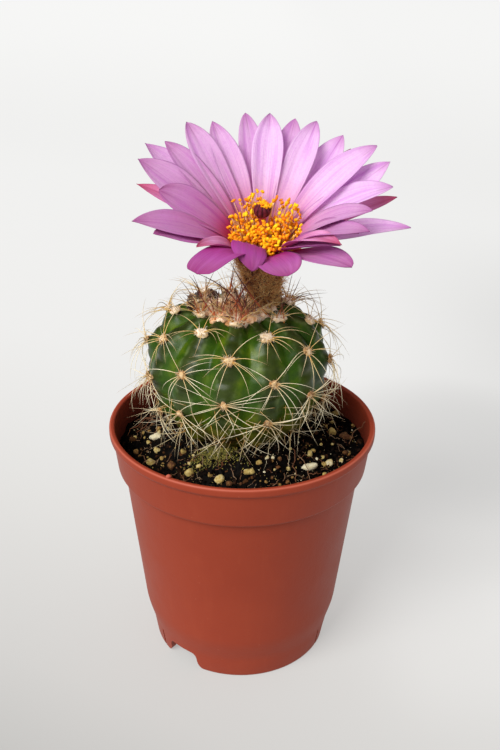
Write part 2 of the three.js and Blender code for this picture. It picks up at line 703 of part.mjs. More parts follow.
const plant = new THREE.Group();
plant.add(meshOf("pot", makePot(), COLOURS.pot, 0.5));
plant.add(meshOf("soil", makeSoil(), COLOURS.soil, 1));
plant.add(meshOf("cactus_stem", makeStem(), COLOURS.stem, 0.45));

const flower = new THREE.Group();
flower.position.copy(FLOWER_BASE);
flower.rotation.x = FLOWER_LEAN * DEG;
flower.add(meshOf("flower_tube", makeTube(), COLOURS.tube, 0.95));
flower.add(meshOf("flower_petals", makePetals(), COLOURS.petals, 0.6));
flower.add(meshOf("stamens", makeStamens(), COLOURS.stamens, 0.8));
flower.add(meshOf("pistil", makePistil(), COLOURS.pistil, 0.7));
plant.add(flower);

const bounds = new THREE.Box3().setFromObject(plant, true);
const middle = bounds.getCenter(new THREE.Vector3());
plant.position.set(-middle.x, -middle.y, -bounds.min.z);

const part = new THREE.Group();
part.add(plant);

export default part;
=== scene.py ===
# A small round cactus in flower, in the soil of its plastic nursery pot.
# Shapes are worked out in millimetres about the pot's own axis, front towards -Y. An azimuth is
# in degrees from the front towards +X. Colours are screen values from 0 to 255.
import itertools

import bmesh
import bpy
import numpy as np
from mathutils import Matrix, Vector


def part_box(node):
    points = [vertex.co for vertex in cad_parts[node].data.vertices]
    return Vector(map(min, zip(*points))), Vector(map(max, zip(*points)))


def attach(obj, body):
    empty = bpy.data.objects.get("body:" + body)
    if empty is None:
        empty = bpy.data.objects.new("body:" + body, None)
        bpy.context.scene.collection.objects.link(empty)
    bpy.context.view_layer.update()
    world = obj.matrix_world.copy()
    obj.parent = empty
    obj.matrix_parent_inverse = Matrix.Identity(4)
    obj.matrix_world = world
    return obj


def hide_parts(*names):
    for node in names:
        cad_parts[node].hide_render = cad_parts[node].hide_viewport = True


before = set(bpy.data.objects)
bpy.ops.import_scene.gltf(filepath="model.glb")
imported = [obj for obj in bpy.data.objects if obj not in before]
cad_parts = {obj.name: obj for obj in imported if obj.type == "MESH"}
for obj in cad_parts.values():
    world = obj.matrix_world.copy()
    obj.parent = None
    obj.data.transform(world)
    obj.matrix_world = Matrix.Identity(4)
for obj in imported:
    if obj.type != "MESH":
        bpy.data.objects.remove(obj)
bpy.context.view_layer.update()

MM = 0.001
POT_LOW, POT_HIGH = (np.array(corner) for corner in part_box("pot"))
POT_AXIS = np.array([*(POT_LOW + POT_HIGH)[:2] / 2, 0])
POT_HEIGHT = POT_HIGH[2] / MM
LIP_RADIUS = (POT_HIGH - POT_LOW)[0] / 2 / MM

# Pot: outside radii, heights and depths below the lip
LIP_DEPTH = 2.4
COLLAR_TOP_RADIUS = 31.7
COLLAR_BOTTOM_RADIUS = 30.7
COLLAR_DEPTH = 10.9
WALL_TOP_RADIUS = 29.2
WALL_BOTTOM_RADIUS = 24.9
WALL_BOTTOM_HEIGHT = 10.4
FOOT_TOP_RADIUS = 23.8
FOOT_TOP_HEIGHT = 8.2
FOOT_RADIUS = 22.6
SHOULDER_SPAN = (5.4, 13.4)
POT_WALL = 1.1
FLOOR_TOP = 4.7
FLOOR_THICKNESS = 1.2
NOTCH_AZIMUTHS = (-39.5, 80.5, 200.5)
NOTCH_TOP_HALF = 4.4
NOTCH_FOOT_HALF = 6.6
NOTCH_HEIGHT = 5
SLIT_STEP = -20
SLIT_WIDTH = 0.6
DRAIN_RADIUS = 3
DRAIN_RING_RADIUS = 15.5
BEAD_AZIMUTH = -30.5
BEAD_SIZE = (0.75, 0.62, 0.5)

# Soil: heights at the pot's wall and in the middle
SOIL_EDGE = 55.5
SOIL_MIDDLE = 61.2
SOIL_ROUGHNESS = 0.75

# Cactus body
BODY_X = -1.2
WAIST_RADIUS = 20.7
WAIST_HEIGHT = 78
CROWN_RISE = 12.6
CROWN_FLATNESS = 0.47
ROOT_DROP = 26
ROOT_TAPER = 1.7
DIMPLE_DEPTH = 2.2
DIMPLE_RADIUS = 5
RIB_COUNT = 13
SIDES_PER_RIB = 26
RIB_CREST = 0.72
RIB_GROOVE = 1.15
RIB_SWELL = 0.6
FIRST_RIB_AZIMUTH = 1.1
RIB_TWIST = -0.3
AREOLE_STEP = 9.2
FIRST_AREOLE = 11
AREOLE_STAGGER = 7 / RIB_COUNT
AREOLE_CLEARANCE = 9.3

# Bearings of an areole's radial spines, in degrees from uphill
SPINE_BEARINGS = (20, 62, 82, 100, 122, 148, 172, 196, 222, 246, 264, 284, 306, 342)
SPINE_TAPER = np.array([1.5, 1.1, 1, 0.93, 0.85, 0.72, 0.56, 0.36, 0.1])

# Flower
FLOWER_BASE = np.array([3.8, -2, 105.4])
FLOWER_LEAN = 20
TUBE_LENGTH = 17.4
TUBE_FOOT_RADIUS = 2.7
TUBE_BEND = np.array([1.5, 0, 0])
TUBE_TOP_RADIUS = 5
TUBE_TOP = -1
TUBE_FOOT = TUBE_TOP - TUBE_LENGTH
PETAL_ROOT_RADIUS = 4.2
PETAL_THICKNESS = 0.28
STIGMA_HEIGHT = 11.3
STIGMA_RADIUS = 1.9
STIGMA_LOBES = 10
# Each petal: azimuth, rise and reach of its tip, half width, bend, roll, roundness of the tip and
# depth of colour, set deeper on the petals at the front and the left as painted shade. Two that hang
# over the front add how high their edges stand and how they sway.
INNER_PETALS = (
    (176, 36, 32.6, 3.6, 27, 0, 1.15, 0.12), (205.7, 35, 32.1, 3.4, 27, -6, 1.1, 0.3),
    (218.7, 36, 33.6, 3.5, 27, -4, 1.3, 0.35), (232.8, 33, 32.4, 3.1, 30, -10, 1.05, 0.5),
    (262.2, 32, 26.4, 4, 34, -18, 1.5, 0.7), (353, 27.5, 21.2, 3.9, 108, -16, 1.3, 1, -0.6, -1.4),
    (13.5, 26.5, 24.4, 4.6, 46, 6, 2.4, 0.95), (44, 33, 26.5, 2.8, 36, 8, 1.2, 0.8),
    (54, 34, 28.5, 3, 36, 10, 1.2, 0.65), (65.5, 38, 30.5, 3.2, 36, 8, 1.15, 0.5),
    (97.7, 28, 32, 3.5, 31, 8, 1.15, 0.1), (119.2, 33, 34.3, 3.9, 28, 4, 1.15, 0.14),
    (153, 34, 33, 3.5, 27, 0, 1.25, 0.16),
)
OUTER_PETALS = (
    (188.2, 34.3, 33.2, 3.2, 8, 0, 1.4, 0.3), (249.9, 31, 33.6, 3.9, 28, -14, 1.15, 0.5),
    (235.6, 27, 35.7, 3.6, 14, -8, 1.1, 0.3), (287.7, 27, 31.7, 3.5, 44, -10, 1.2, 0.7),
    (294.7, 27, 27.8, 3.1, 34, -6, 1.6, 0.85), (329, 24.5, 28, 4.8, 66, 14, 3.4, 1, 1, 0),
    (38.7, 26, 30.8, 3.5, 36, 0, 1.9, 0.75), (50.4, 35, 32.9, 3.2, 40, 0, 1.15, 0.6),
    (76.1, 22, 34.2, 2.7, 26, 8, 1.1, 0.25), (111.5, 29, 34.3, 3.8, 12, 6, 1.2, 0.1),
    (140, 30, 33, 3.9, 9, 0, 1.25, 0.15), (164, 33, 32.8, 3.5, 8, 0, 1.25, 0.3),
)
SEPALS = (
    (244.5, 15, 32.5, 2.7, 18, 0, 1.1, 0.2), (137.7, 22, 33, 1.9, 18, 0, 1.05, 0.8),
    (108.4, 14, 33.1, 2.6, 14, 0, 1.05, 0.6), (310, 30, 20.6, 2, 50, 0, 1.05, 1),
    (40, 34.5, 29, 2.3, 54, 0, 1.05, 1), (205, 18, 30, 2.4, 18, 0, 1.05, 0.7),
    (172, 16, 31, 2.4, 18, 0, 1.05, 0.7),
)
# Each whorl: its petals, how high their edges stand, and the height of their roots
WHORLS = {
    "inner": (INNER_PETALS, 1.5, 0.9),
    "outer": (OUTER_PETALS, 1, 0.3),
    "sepal": (SEPALS, 0.8, -0.2),
}

# The larger grains in view: place and half sizes in millimetres, and a tone
GRAINS = (
    (-21.2, -2, 1.9, 1.1, 0.95, 1), (-20.4, -7.8, 1.05, 0.9, 0.8, 0.6), (-21.5, -11.2, 1.2, 1.1, 0.8, 0.55),
    (-20.9, 1.4, 1.7, 0.8, 0.6, 0.3), (-23, -2.8, 0.6, 0.5, 0.5, 0.6), (-13.8, -12.9, 0.9, 0.8, 0.6, 0.45),
    (-12, -18, 1.15, 1, 0.9, 0.55), (-12.2, -16.1, 0.5, 0.45, 0.4, 0.6), (-9.9, -17.3, 0.65, 0.8, 0.6, 0.6),
    (-5.1, -21, 1.5, 1.2, 0.9, 0.6), (-2.8, -22.2, 0.85, 0.8, 0.7, 0.1), (-16.4, -15.2, 1.3, 1.1, 0.9, 0.05),
    (1.1, -19.9, 0.9, 1, 0.85, 0.55), (4, -17.1, 0.75, 0.9, 0.7, 0.4), (5.8, -16, 0.6, 0.5, 0.5, 0.8),
    (7.1, -16.1, 0.5, 0.5, 0.4, 0.9), (10.7, -17.4, 0.65, 0.6, 0.6, 0.6), (5.1, -19.8, 0.36, 0.3, 0.3, 1),
    (11.3, -12.5, 0.4, 0.4, 0.6, 0.7), (15.7, -15.3, 2.2, 1, 0.95, 1), (20.5, -11.6, 1.3, 1, 0.9, 0.8),
    (23.8, -9.7, 0.65, 0.65, 0.55, 0.7), (17.6, -12.1, 0.4, 0.4, 0.35, 1),
    (19.3, -15.7, 0.75, 0.65, 0.6, 0.6),
    (22.2, 1.5, 1.2, 1.2, 1.1, 0.5), (24.6, 16, 1.15, 1.1, 1.1, 0.5), (21.5, 16.5, 1, 0.95, 0.9, 0.3),
    (19.1, 18.8, 1, 0.9, 0.9, 0.35), (28.4, 8.2, 0.7, 0.65, 0.6, 0.3), (19.1, -10.5, 0.7, 0.6, 0.5, 0.7),
    (26, 1.1, 1.9, 1.5, 1, 0), (25.1, -5, 0.8, 0.75, 0.7, 0.1), (14, 1.2, 0.5, 0.5, 0.5, 0.8),
    (10.4, -21.2, 0.65, 0.6, 0.5, 0.1), (8.6, -21.4, 0.65, 0.6, 0.5, 0.3), (-25.5, -6, 0.9, 0.7, 0.6, 0.2),
)
# The longest grain lies flat with its length turned a little towards the right
LONGEST_GRAIN_TURN = ((0.93, -0.37, 0), (0.37, 0.93, 0), (0, 0, 1))

# Roots that lie on the soil in view: x, y of both ends, how far each end stands up, and a tone
ROOTLETS = (
    (-28.6, 1, -17.5, 4.5, 0.3, 1.6, 0.75), (-26.5, 2.2, -19.5, 2, 0.5, 1.2, 0.8),
    (-27.5, 7.5, -18, 9.5, 1, 1.6, 0.6), (-9, -15.6, -9.4, -21.6, 0.7, 0.2, 0.2),
    (-3.4, -15.8, -1.2, -21.4, 0.6, 0.2, 0.25), (11.8, -13, 12.4, -20.6, 0.8, 0.2, 0.6),
    (13, -14, 15.6, -19.2, 0.5, 0.2, 0.3), (-15.2, -16.6, -13.2, -20.3, 0.9, 0.2, 0.55),
    (26.2, -2, 31.2, 3.5, 0.3, 4.6, 0.4), (15.5, -17.4, 20.2, -14.8, 0.3, 0.4, 0.7),
    (8.2, -12.8, 11, -16.8, 1.4, 0.4, 0.3), (-24.2, -8.2, -19, -14.6, 0.3, 0.4, 0.5),
    (-19.5, 3.4, -14.2, 5.6, 0.5, 2.2, 0.7), (-25.5, 4.2, -24.8, 4, 0.2, 6.5, 0.35),
)

# The long dark spines across the crown in view: their root, middle and tip
MARKED_SPINES = (
    ((5.3, -6, 92), (0.6, -5.4, 97.8), (-3.1, -3.6, 103.6)),
    ((0.1, -9.5, 91), (-2.6, -8.8, 92.3), (-5.5, -8.8, 92.3)),
    ((0, -5.5, 91), (-3.7, -2.9, 96.3), (-11.2, -1, 100)),
    ((0.1, -9.5, 91), (1.6, -8.2, 93.6), (4.9, -9.2, 95.4)),
    ((0, -7, 91), (-0.9, -5.3, 94.5), (-2.8, -3.3, 98.5)),
    ((-5.5, -5.5, 90.5), (-6, -4.1, 93.6), (-5.3, -2.1, 97.5)),
    ((0.8, -7.5, 91), (0.1, -5.3, 95.5), (-0.7, -3.6, 98.9)),
    ((-6, -5.5, 90.5), (-9.2, -3.8, 94.4), (-11.6, -2.1, 97.9)),
    ((-3, -4, 91), (0.2, -4.7, 97.9), (3, -7.4, 102.8)),
    ((-2, -3, 91), (-0.9, -1.2, 95), (-0.4, 0.2, 98)),
    ((-6.4, -6, 90.5), (-7, -5, 93.4), (-8.4, -3.6, 97)),
    ((-4.8, -6.2, 90.5), (-4.4, -5, 93.8), (-2.8, -3.8, 97.2)),
)

# Stage: the camera stands in front of the pot's axis, and one large soft lamp stands in for a window
CAMERA_PLACE = (0, -197.28, 169.91)
CAMERA_PITCH, CAMERA_YAW, CAMERA_ROLL = 25.97, 0.496, 0.807
CAMERA_LENS = 43.84
FLOOR_HALF = 6
LAMP_PLACE = np.array([-1560, -1740, 2150])
LAMP_TARGET = np.array([0, 0, 60])
LAMP_SIZE = 1800
LAMP_POWER = 114
LAMP_COLOUR = (1, 1, 0.985)
DAYLIGHT = 0.62


def smooth(value):
    t = np.clip(value, 0, 1)
    return t * t * (3 - 2 * t)


def curve(start, control, end, share):
    """Points at shares of the way along the curve that a control point pulls aside."""
    return (1 - share) ** 2 * start + 2 * share * (1 - share) * control + share**2 * end


def azimuth_vector(azimuth, radius=1.0, height=0.0):
    angle = np.radians(azimuth)
    parts = (radius * np.sin(angle), -radius * np.cos(angle), height + 0 * angle)
    return np.stack(np.broadcast_arrays(*parts), axis=-1)


def unit(vectors):
    return vectors / np.linalg.norm(vectors, axis=-1, keepdims=True)


def random_units(rng, count):
    return unit(rng.normal(size=(count, 3)))


def noise(points, size, seed=0):
    """Smooth random values from -1 to 1 that change over about size millimetres."""
    grid = points / size + 37.7 * seed + 1000
    cell = np.floor(grid).astype(np.int64)
    share = grid - cell
    share = share * share * (3 - 2 * share)
    total = np.zeros(len(points))
    for corner in itertools.product((0, 1), repeat=3):
        weight = np.prod(np.where(corner, share, 1 - share), axis=1)
        x, y, z = (cell + corner).T
        mixed = (x * 73856093) ^ (y * 19349663) ^ (z * 83492791)
        mixed = (mixed * 1103515245 + 12345) & 0x7FFFFFFF
        mixed = ((mixed ^ (mixed >> 15)) * 2246822519) & 0xFFFFFFFF
        total += weight * mixed / 0xFFFFFFFF
    return 2 * total - 1


def layered_noise(points, size, layers, seed=0):
    return sum(noise(points, size / 2**k, seed + k) / 2**k for k in range(layers))


class Shape:
    """Points, faces as arrays of point numbers, and numbers per point for the materials to read."""

    def __init__(self, points, faces, **values):
        self.points = np.asarray(points, float).reshape(-1, 3)
        self.faces = [np.asarray(face) for face in faces]
        count = len(self.points)
        self.values = {name: np.array(np.broadcast_to(value, count)) for name, value in values.items()}

    def placed(self, points):
        return Shape(points, self.faces, **self.values)


def joined(shapes):
    starts = np.cumsum([0] + [len(shape.points) for shape in shapes[:-1]])
    faces = [face + start for shape, start in zip(shapes, starts) for face in shape.faces]
    names = shapes[0].values
    values = {name: np.concatenate([shape.values[name] for shape in shapes]) for name in names}
    return Shape(np.concatenate([shape.points for shape in shapes]), faces, **values)


def grid_faces(rows, columns):
    """The faces between rows of points, each row a closed ring."""
    row, column = np.meshgrid(np.arange(rows - 1), np.arange(columns), indexing="ij")
    here, after = row * columns + column, row * columns + (column + 1) % columns
    return np.stack([here, after, after + columns, here + columns], axis=-1).reshape(-1, 4)


def repeated(faces, count, points_each):
    """The faces of one shape, numbered for each of count copies of it."""
    starts = np.arange(count) * points_each
    return (faces[None] + starts[:, None, None]).reshape(-1, faces.shape[1])


def tubes(paths, radii, sides, **values):
    """Closed tapering tubes along paths, an array of (tube, step, 3)."""
    count, steps, _ = paths.shape
    along = unit(np.gradient(paths, axis=1))
    least = np.argmin(np.abs(along.mean(axis=1)), axis=1)
    first = unit(np.cross(along, np.eye(3)[least][:, None]))
    second = np.cross(along, first)
    angle = 2 * np.pi * np.arange(sides)[:, None] / sides
    rings = first[:, :, None] * np.cos(angle) + second[:, :, None] * np.sin(angle)
    points = paths[:, :, None] + np.broadcast_to(radii, (count, steps))[:, :, None, None] * rings
    ring = np.arange(sides)[None]
    caps = np.concatenate([ring[:, ::-1], ring + (steps - 1) * sides])
    each = steps * sides
    faces = [repeated(grid_faces(steps, sides), count, each), repeated(caps, count, each)]
    along_value = np.broadcast_to(np.linspace(0, 1, steps)[None, :, None], points.shape[:3])
    spread = {name: np.repeat(value, each) for name, value in values.items()}
    return Shape(points, faces, along=along_value.ravel(), **spread)


def ball(level):
    """The points and triangles of a ball of radius 1."""
    mesh = bmesh.new()
    bmesh.ops.create_icosphere(mesh, subdivisions=level, radius=1)
    points = np.array([vertex.co for vertex in mesh.verts])
    faces = np.array([[vertex.index for vertex in face.verts] for face in mesh.faces])
    mesh.free()
    return points, faces


def frames_along(directions, rng):
    """Turning matrices whose third column is the direction, turned at random about it."""
    third = unit(directions)
    first = unit(np.cross(third, random_units(rng, len(third))))
    return np.stack([first, np.cross(third, first), third], axis=-1)


def turned(count, rng):
    return frames_along(random_units(rng, count), rng)


def blobs(centres, sizes, turns, rng, level=3, lumpiness=0.0, **values):
    """Lumps of three half sizes each, at centres."""
    points, faces = ball(level)
    count = len(centres)
    radii = 1 + lumpiness * rng.uniform(-1, 1, (count, len(points)))
    local = points[None] * radii[..., None] * np.asarray(sizes).reshape(count, 1, 3)
    places = np.einsum("nij,npj->npi", turns, local) + np.asarray(centres)[:, None]
    spread = {name: np.repeat(value, len(points)) for name, value in values.items()}
    return Shape(places, [repeated(faces, count, len(points))], **spread)


def outward(lumps, centres):
    """How far each point of the lumps is from the centre of its own lump, as a vector."""
    return lumps.points - np.repeat(centres, len(lumps.points) // len(centres), axis=0)


def roughened(lumps, centres, amount, size, seed):
    """The lumps with hollows and bulges of about size millimetres."""
    uneven = amount * layered_noise(lumps.points, size, layers=3, seed=seed)
    return lumps.placed(lumps.points + outward(lumps, centres) * uneven[:, None])


def hairs(roots, directions, lengths, rng, tone, radius, curl, paler=0.0):
    """Fine curly hairs as thin tubes, paler at their tips by an amount."""
    steps = 3
    wander = np.cumsum(rng.normal(size=(len(roots), steps, 3)), axis=1) * curl
    wander -= wander[:, :1]
    share = np.linspace(0, 1, steps)[None, :, None]
    paths = roots[:, None] + (unit(directions)[:, None] * share + wander * share) * lengths[:, None, None]
    fur = tubes(paths, radius * np.array([1, 0.8, 0.25]), sides=3, tone=tone)
    return Shape(fur.points, fur.faces, tone=fur.values["tone"] + paler * fur.values["along"])


def in_flower(shape):
    """The shape moved from the flower's own frame to its place on the plant."""
    lean = np.radians(FLOWER_LEAN)
    turn = np.array([[1, 0, 0], [0, np.cos(lean), -np.sin(lean)], [0, np.sin(lean), np.cos(lean)]])
    return shape.placed(shape.points @ turn.T + FLOWER_BASE)


def closed_skin(rings, first_pole, last_pole, inside_out=False, **values):
    """Faces over rings of points, an array of (ring, point, 3), closed to a pole at each end."""
    rows, sides, _ = rings.shape
    ring = np.arange(sides)
    after = (ring + 1) % sides
    last = (rows - 1) * sides
    first_cap = np.stack([after, ring, np.full(sides, rows * sides)], axis=-1)
    last_cap = np.stack([last + ring, last + after, np.full(sides, rows * sides + 1)], axis=-1)
    faces = [grid_faces(rows, sides), first_cap, last_cap]
    if inside_out:
        faces = [face[:, ::-1] for face in faces]
    return Shape(np.concatenate([rings.reshape(-1, 3), [first_pole, last_pole]]), faces, **values)


def lathe(profile, sides, **values):
    """A profile of (radius, height) that starts and ends on the axis, turned round it."""
    profile = np.asarray(profile, float)
    inner = profile[1:-1]
    azimuth = np.arange(sides) * 360 / sides
    rings = azimuth_vector(azimuth[None], inner[:, :1], inner[:, 1:])
    return closed_skin(rings, [0, 0, profile[0, 1]], [0, 0, profile[-1, 1]], **values)


def rounded(profile, reach, steps=5):
    """A profile with its inner corners rounded off over at most reach."""
    profile = np.asarray(profile, float)
    out = [profile[0]]
    for before, corner, after in zip(profile[:-2], profile[1:-1], profile[2:]):
        ends = []
        for other in (before, after):
            side = other - corner
            length = np.linalg.norm(side)
            ends.append(corner + side / length * min(reach, 0.45 * length))
        out.extend(curve(ends[0], corner, ends[1], np.linspace(0, 1, steps)[:, None]))
    out.append(profile[-1])
    return np.array(out)


def mesh_object(name, shape, material, flat=False):
    mesh = bpy.data.meshes.new(name)
    points = shape.points * MM + POT_AXIS
    corners = np.concatenate([face.ravel() for face in shape.faces])
    sizes = np.concatenate([np.full(len(face), face.shape[1]) for face in shape.faces])
    mesh.vertices.add(len(points))
    mesh.vertices.foreach_set("co", points.ravel())
    mesh.loops.add(len(corners))
    mesh.loops.foreach_set("vertex_index", corners)
    mesh.polygons.add(len(sizes))
    mesh.polygons.foreach_set("loop_start", np.cumsum(sizes) - sizes)
    mesh.polygons.foreach_set("use_smooth", np.full(len(sizes), not flat))
    mesh.update(calc_edges=True)
    for value_name, value in shape.values.items():
        attribute = mesh.attributes.new(value_name, "FLOAT", "POINT")
        attribute.data.foreach_set("value", value.astype(np.float32))
    mesh.materials.append(material)
    made = bpy.data.objects.new(name, mesh)
    bpy.context.scene.collection.objects.link(made)
    return made


def add_piece(name, shape, material, node, flat=False):
    """A mesh piece that stands for a node of the solids and rides on the object's one body."""
    piece = mesh_object(name, shape, material, flat)
    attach(piece, "root")
    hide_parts(node)
    return piece


def rgb(red, green, blue):
    """A screen colour as the shaders' linear one."""
    share = np.array([red, green, blue]) / 255
    linear = np.where(share <= 0.04045, share / 12.92, ((share + 0.055) / 1.055) ** 2.4)
    return (*linear, 1.0)


class Value:
    """A number or a colour that shader nodes work out at each point of a surface."""

    def __init__(self, surface, socket):
        self.surface = surface
        self.socket = socket

    def math(self, operation, other=0.0):
        return self.surface.node("Math", {0: self, 1: other}, operation=operation)

    def __add__(self, other):
        return self.math("ADD", other)

    def __sub__(self, other):
        return self.math("SUBTRACT", other)

    def __mul__(self, other):
        return self.math("MULTIPLY", other)

    def __truediv__(self, other):
        return self.math("DIVIDE", other)

    def band(self, low, high, to_low=0.0, to_high=1.0):
        """A smooth step: to_low where the value is at or under low, to_high at or over high."""
        inputs = dict(enumerate((self, low, high, to_low, to_high)))
        return self.surface.node("MapRange", inputs, interpolation_type="SMOOTHSTEP")

    def ramp(self, *stops):
        """Colours at stops, each a position and then a screen colour or a linear one of four numbers."""
        ramp = self.surface.node("ValToRGB", {0: self})
        elements = ramp.socket.node.color_ramp.elements
        while len(elements) < len(stops):
            elements.new(0.5)
        for element, (position, *colour) in zip(elements, stops):
            element.position = position
            element.color = colour if len(colour) == 4 else rgb(*colour)
        return ramp

    def mixed(self, share, other, mode="MIX"):
        """This colour with a share of the other one."""
        inputs = {0: share, 6: self, 7: other}
        return self.surface.node("Mix", inputs, 2, data_type="RGBA", blend_type=mode)


class Surface:
    """A material with one Principled shader, and short calls for the nodes that feed it."""

    def __init__(self, name, **sockets):
        self.material = bpy.data.materials.new(name)
        self.material.use_nodes = True
        self.tree = self.material.node_tree
        self.shader = self.tree.nodes["Principled BSDF"]
        self.feed(**sockets)
        here = self.node("TexCoord", {}, "Object")
        self.place = self.node("VectorMath", {0: here, "Scale": 1 / MM}, operation="SCALE")
        self.colour = None
        self.relief = None

    def node(self, kind, inputs, output=0, **settings):
        """Adds a node with its settings and inputs, and returns one of its outputs."""
        node = self.tree.nodes.new("ShaderNode" + kind)
        for name, setting in settings.items():
            setattr(node, name, setting)
        for key, value in inputs.items():
            self.put(node.inputs[key], value)
        return Value(self, node.outputs[output])

    def put(self, socket, value):
        if isinstance(value, Value):
            self.tree.links.new(value.socket, socket)
        elif socket.type == "RGBA" and len(value) == 3:
            socket.default_value = rgb(*value)
        else:
            socket.default_value = value

    def feed(self, **sockets):
        for name, value in sockets.items():
            self.put(self.shader.inputs[name.replace("_", " ")], value)

    def read(self, *names):
        """The numbers that the pieces carry under these names."""
        values = [self.node("Attribute", {}, "Fac", attribute_name=name) for name in names]
        return values if len(names) > 1 else values[0]

    def noise(self, size, detail=3.0, rough=0.55, place=None):
        """Noise from 0 to 1 over about size millimetres."""
        place = place or self.place
        inputs = {"Vector": place, "Scale": 1 / size, "Detail": detail, "Roughness": rough}
        return self.node("TexNoise", inputs)

    def stretched_noise(self, detail, stretch):
        """Noise with each axis measured in its own number of millimetres."""
        place = self.node("VectorMath", {0: self.place, 1: stretch}, operation="DIVIDE")
        return self.noise(1, detail, place=place)

    def lines(self, wide, long, detail, rough):
        """Noise in wide cells across a blade and long cells along it, other on each blade."""
        across, along, seed = self.read("across", "along", "seed")
        place = self.node("CombineXYZ", {0: across * wide, 1: along * long, 2: seed})
        return self.noise(1, detail, rough, place)

    def dots(self, size):
        """Distance from the middle of the nearest of many dots about size millimetres apart."""
        return self.node("TexVoronoi", {"Vector": self.place, "Scale": 1 / size}, "Distance")

    def bump(self, height, depth):
        """Raises the surface by up to depth millimetres where height is 1."""
        inputs = {"Distance": depth * MM, "Height": height}
        if self.relief is not None:
            inputs["Normal"] = self.relief
        self.relief = self.node("Bump", inputs)
        self.feed(Normal=self.relief)

    def let_light_through(self, share, colour):
        """Mixes in a Translucent shader, as in a thin petal."""
        through = self.node("BsdfTranslucent", {"Color": colour, "Normal": self.relief})
        plain = Value(self, self.shader.outputs[0])
        both = self.node("MixShader", {0: share, 1: plain, 2: through})
        self.put(self.tree.nodes["Material Output"].inputs["Surface"], both)


def toned_surface(name, stops, grain, relief, by="tone", **sockets):
    """A colour picked by each piece's tone, or by how far along it a point is, with a fine grain.

    The grain is its size and detail, the part of its range in use and how far it shifts the tone.
    The relief is the size, detail and roughness of its noise, with its depth last.
    """
    surface = Surface(name, **sockets)
    size, detail, low, high, shift = grain
    shade = surface.read(by) + surface.noise(size, detail).band(low, high, -shift, shift)
    *form, depth = relief
    surface.colour = shade.ramp(*stops)
    surface.feed(Base_Color=surface.colour)
    surface.bump(surface.noise(*form), depth)
    return surface


def pot_material():
    surface = Surface("pot_plastic", Specular_IOR_Level=0.16)
    cloudy = surface.noise(14, 4)
    base = cloudy.ramp((0.3, 141, 54, 33), (0.7, 146, 58, 36))
    streaks = surface.stretched_noise(2, (2.2, 2.2, 14))
    base = base.mixed(streaks.band(0.5, 0.8, 0, 0.1), (170, 78, 50))
    scuffs = surface.noise(0.8, 2).band(0.74, 0.8, 0, 0.3)
    base = base.mixed(scuffs, (196, 116, 92))
    edge, inside = surface.read("edge", "inside")
    # Painted highlight: a pinker band along the outer top edge of the lip. The bead carries the same value,
    # which gives it its own pink.
    base = base.mixed(edge * 0.4, (214, 122, 100))
    # Painted shade: the inside wall darkens to near black deeper down, a little mottled.
    inside_shade = surface.noise(3, 5, 0.7).band(0.35, 0.7, 0.85, 1)
    base = base.mixed(inside * inside_shade, (22, 4, 1))
    surface.feed(Base_Color=base, Roughness=cloudy.band(0.2, 0.8, 0.42, 0.54) + inside * 0.45)
    surface.bump(surface.noise(0.5, 3), 0.03)
    surface.bump(surface.noise(3.5, 2), 0.05)
    return surface.material


def soil_material():
    """Damp soil and the crumbs on it."""
    stops = (0, 2, 1, 1), (0.25, 8, 5, 3), (0.5, 34, 18, 9), (1, 104, 66, 34)
    surface = toned_surface("soil", stops, (0.7, 4, 0.2, 0.8, 0.16), (0.35, 4, 0.65, 0.14),
                            Specular_IOR_Level=0.08)
    surface.feed(Roughness=surface.noise(2.5, 2).band(0.35, 0.7, 0.6, 0.95))
    return surface.material


def skin_material():
    surface = Surface("cactus_skin", Coat_Weight=0.12, Coat_Roughness=0.3, Specular_IOR_Level=0.22)
    crest, age = surface.read("crest", "age")
    grass = surface.noise(5, 3).ramp((0.3, 28, 56, 1), (0.52, 48, 78, 2), (0.8, 94, 112, 4))
    deep = surface.noise(3, 3).ramp((0.3, 28, 38, 6), (0.7, 56, 65, 24))
    base = grass.mixed(crest.band(0.45, 1, 0, 0.85), deep)
    # Waxy bloom and painted sheen: pale grey-green patches on both shoulders of each rib, real wax and also
    # the soft highlights that fall there.
    shoulder = crest.band(0.5, 0.72) * crest.band(0.72, 0.94, 1, 0)
    bloom_and_painted_sheen = surface.noise(3.4, 4, 0.6).band(0.42, 0.66, 0, 0.4) * shoulder
    base = base.mixed(bloom_and_painted_sheen, (112, 128, 78))
    base = base.mixed(surface.dots(0.42).band(0.05, 0.16, 0.2, 0), (112, 148, 50))
    cork = age + surface.noise(6, 4).band(0.2, 0.8, -0.14, 0.14)
    base = base.mixed(cork.band(0.68, 0.9, 0, 0.7), (92, 84, 18))
    base = base.mixed(cork.band(0.88, 1), (58, 40, 20))
    surface.feed(Base_Color=base, Roughness=surface.noise(1.6, 3).band(0.3, 0.7, 0.36, 0.52))
    surface.bump(surface.noise(0.45, 3), 0.025)
    surface.bump(surface.noise(2.2, 2), 0.08)
    return surface.material


def spine_material():
    """Tone runs from the white old spines at 0 through golden ones to the red young ones at 1."""
    surface = Surface("spines", Roughness=0.42, Specular_IOR_Level=0.4)
    along, tone = surface.read("along", "tone")
    white = along.ramp((0, 172, 122, 58), (0.14, 220, 194, 146), (0.5, 242, 232, 202), (1, 206, 188, 152))
    golden = along.ramp((0, 196, 130, 32), (0.2, 214, 174, 92), (0.6, 214, 188, 134), (1, 142, 104, 68))
    red = along.ramp((0, 228, 146, 78), (0.22, 176, 84, 46), (0.5, 98, 34, 26), (1, 44, 19, 18))
    base = white.mixed(tone.band(0, 0.5), golden).mixed(tone.band(0.5, 1), red)
    surface.feed(Base_Color=base)
    return surface.material


def fuzz_material(name, low, middle, high, size=0.9, sheen=0.25):
    """Felted wool, with a colour each for a low, a middle and a high tone."""
    stops = (0, *low), (0.5, *middle), (1, *high)
    surface = toned_surface(name, stops, (size, 3, 0.25, 0.75, 0.2), (0.18, 2, 0.12), Roughness=0.95,
                            Specular_IOR_Level=0.1, Sheen_Weight=sheen, Sheen_Roughness=0.6)
    return surface.material


